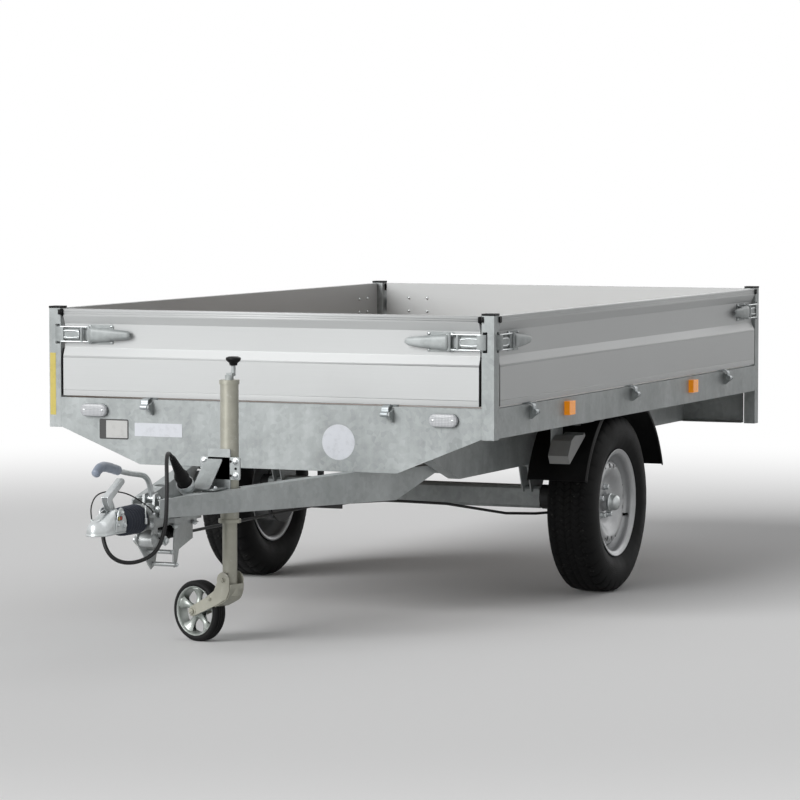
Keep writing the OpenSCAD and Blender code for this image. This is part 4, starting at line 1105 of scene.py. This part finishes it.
# fork of the jockey wheel: two pressed arms about the tube's end with a bridge between them
def makeFork():
    a = np.linspace(math.radians(-15), math.radians(195), 12)
    crown = np.stack([-2 + 27.5 * np.cos(a), 211 + 27.5 * np.sin(a)], -1)
    b = np.linspace(math.radians(235), math.radians(415), 9)
    foot = np.stack([138 + 17 * np.cos(b), 100 + 17 * np.sin(b)], -1)
    arm = np.concatenate([crown, [(-29, 178), (-16, 152), (30, 128)], foot,
                          [(80, 148), (40, 174)]])[::-1] / 1000
    parts = []
    for way in (1, -1):
        parts.append(plate(arm * (-way, 1), 0.0035, 0.001, (0, way * 0.0315, 0), (-way, 0, 0), (0, 0, 1)))
        parts += [bolt((0.138, way * 0.0345, 0.1), (0, way, 0), 0.0105),
                  bolt((-0.002, way * 0.0345, 0.212), (0, way, 0), 0.0075),
                  bolt((0.058, way * 0.0345, 0.148), (0, way, 0), 0.0065)]
    line = smoothLine([(-29, 200), (-28, 180), (-16, 153), (12, 137), (40, 124)], 4) / 1000
    parts.append(sheet(line, -0.0318, 0.0318, 0.0028))
    parts.append(turned([(0, 0.16), (0.031, 0.16), (0.032, 0.162), (0.032, 0.194), (0.031, 0.196),
                         (0, 0.196)],
                        (0, 0, 0), (0, 0, 1), 40))
    parts.append(bar(0.007, -0.0395, 0.0395, (jockey["trail"], 0, jockey["radius"]), (0, 1, 0), 20))
    makePiece("forkPressed", moved(join(*parts), trailing), "jockey_fork", "tube_steel",
              ["jockey_fork"], bevel=0.0004)


makeFork()
print("jockey wheel made")


# lamps: a domed oval lens on a base with two screws
def ovalLens(y, z, length, height, thick):
    outline = roundedOutline(length, height, height / 2 - 0.0003, 9)
    rows, lifts = [1.0, 1.0, 0.97, 0.9, 0.74, 0.4], [0.0, 0.55, 0.76, 0.9, 0.97, 1.0]
    flat = np.array(rows)[:, None, None] * outline[None]
    points = np.stack([bed["front"] + np.array(lifts)[:, None] * thick + 0 * flat[..., 0], y + flat[..., 0],
                       z + flat[..., 1]], -1)
    return grid(points, False, True, True)


def makeLamps():
    z = bed["floor"] - 0.039
    makePiece("frontLenses", join(*[ovalLens(y, z, 0.103, 0.044, 0.0185) for y in (-0.6524, 0.6524)]),
              "chassis", "clear_lens", ["front_lamps"])
    screws = [disc(0.0045, 0.002, (bed["front"] + 0.016, y + dy, z), (1, 0, 0), 16, 0.001)
              for y in (-0.6524, 0.6524) for dy in (-0.035, 0.035)]
    makePiece("lensScrews", join(*screws), "chassis", "zinc_plate")


makeLamps()


# plates and tapes on the front: all of them blank
def frontSheet(name, y0, y1, z0, z1, lift, corner, paint):
    outline = roundedOutline(y1 - y0, z1 - z0, corner)
    part = plate(outline, 0.0008, 0.0002, (bed["front"] + lift, (y0 + y1) / 2, (z0 + z1) / 2), (0, 1, 0),
                 (0, 0, 1))
    return makePiece(name, part, "chassis", paint)


frontSheet("typePlateEdge", -0.635, -0.523, 0.612, 0.681, 0.0001, 0.005, blackFilm)
frontSheet("typePlateField", -0.609, -0.527, 0.6165, 0.6765, 0.0007, 0.002, silverFilm)
frontSheet("paleLabel", -0.499, -0.317, 0.625, 0.671, 0.0001, 0.002, white)
frontSheet("yellowTape", -0.8265, -0.8045, 0.69, 0.905, 0.0001, 0.0008, yellow)
makePiece("paleDisc", disc(0.06, 0.0008, (bed["front"] + 0.0001, 0.268, 0.627), (1, 0, 0), 64), "chassis",
          white)
print("lamps and plates made")


# every node still shown keeps its solid, gets rounded edges and its finish
softness = {"galvanised_steel": 0.0011, "cast_steel": 0.0022, "zinc_plate": 0.0013, "black_plastic": 0.0012}
slotOf = {row["node"]: row["material_slot"] for row in frame["record"]["subparts"]}
slotOf["jockey_inner_tube"] = "tube_steel"       # the photo's lower tube has the upper tube's warm grey
slotOf["hub_left"] = slotOf["hub_right"] = "wheel_silver"
slotOf["drawbar_beams"] = "beam_steel"           # the same galvanised steel painted paler than the bed's frame: painted light on the beams
for name, thing in frame["nodes"].items():
    thing.data.materials.clear()
    thing.data.materials.append(paints[slotOf[name]])
    if thing.hide_render:
        continue
    weld = thing.modifiers.new("weld", "WELD")
    weld.merge_threshold = 2e-6
    thing.data.polygons.foreach_set("use_smooth", [True] * len(thing.data.polygons))
    soften(thing, softness.get(slotOf[name], 0.001))
print("solids finished")


# floor and light: a pale floor that turns into the white background away from the part
studio = {"ambient": 0.2, "key": 2.85, "fill": 0.6, "near": 3.2, "far": 7.5}


def makeStudio(s):
    world = bpy.data.worlds.new("studio")
    bpy.context.scene.world = world
    world.use_nodes = True
    tree = world.node_tree
    tree.nodes.clear()
    path = tree.nodes.new("ShaderNodeLightPath")
    seen = tree.nodes.new("ShaderNodeMath")
    seen.operation = "ADD"
    tree.links.new(path.outputs["Is Camera Ray"], seen.inputs[0])
    tree.links.new(path.outputs["Is Glossy Ray"], seen.inputs[1])
    more = tree.nodes.new("ShaderNodeMath")
    more.operation, more.use_clamp = "ADD", True
    tree.links.new(seen.outputs[0], more.inputs[0])
    tree.links.new(path.outputs["Is Transmission Ray"], more.inputs[1])
    level = tree.nodes.new("ShaderNodeMapRange")
    tree.links.new(more.outputs[0], level.inputs["Value"])
    level.inputs["To Min"].default_value, level.inputs["To Max"].default_value = s["ambient"], 1.0
    sky = tree.nodes.new("ShaderNodeBackground")
    sky.inputs["Color"].default_value = (1, 1, 1, 1)
    tree.links.new(level.outputs[0], sky.inputs["Strength"])
    output = tree.nodes.new("ShaderNodeOutputWorld")
    tree.links.new(sky.outputs[0], output.inputs["Surface"])
    for name, power, wide, way in (("key", s["key"], 40, (-0.9, 0.38, -0.42)),
                                   ("fill", s["fill"], 60, (0.85, -0.1, -0.5))):
        lamp = bpy.data.lights.new(name, "SUN")
        lamp.energy, lamp.angle = power, math.radians(wide)
        holder = bpy.data.objects.new(name, lamp)
        holder.rotation_mode = "QUATERNION"
        holder.rotation_quaternion = Vector(way).to_track_quat("-Z", "Y")
        bpy.context.scene.collection.objects.link(holder)
    floor = bpy.data.meshes.new("floor")
    w = 60.0
    floor.from_pydata([(-w, -w, 0), (w, -w, 0), (w, w, 0), (-w, w, 0)], [], [(0, 1, 2, 3)])
    ground = bpy.data.objects.new("floor", floor)
    bpy.context.scene.collection.objects.link(ground)
    p = Paint("pale floor", Base_Color=(0.86, 0.86, 0.86, 1), Roughness=0.9, Specular_IOR_Level=0.1)
    away = p.node("ShaderNodeVectorMath", {"operation": "LENGTH"}, {0: p.place}, "Value")
    glow = p.node("ShaderNodeEmission", {}, {"Color": (1, 1, 1, 1), "Strength": 1.0})
    path = p.node("ShaderNodeLightPath", {}, {}, "Is Camera Ray")
    fade = p.step(away, s["near"], s["far"], 0.0, 1.0) * path
    both = p.node("ShaderNodeMixShader", {}, {0: fade, 2: glow})
    p.tree.links.new(p.shader.outputs[0], both.socket.node.inputs[1])
    p.tree.links.new(both.socket, p.tree.nodes["Material Output"].inputs["Surface"])
    floor.materials.append(p.material)


makeStudio(studio)
print("studio set")
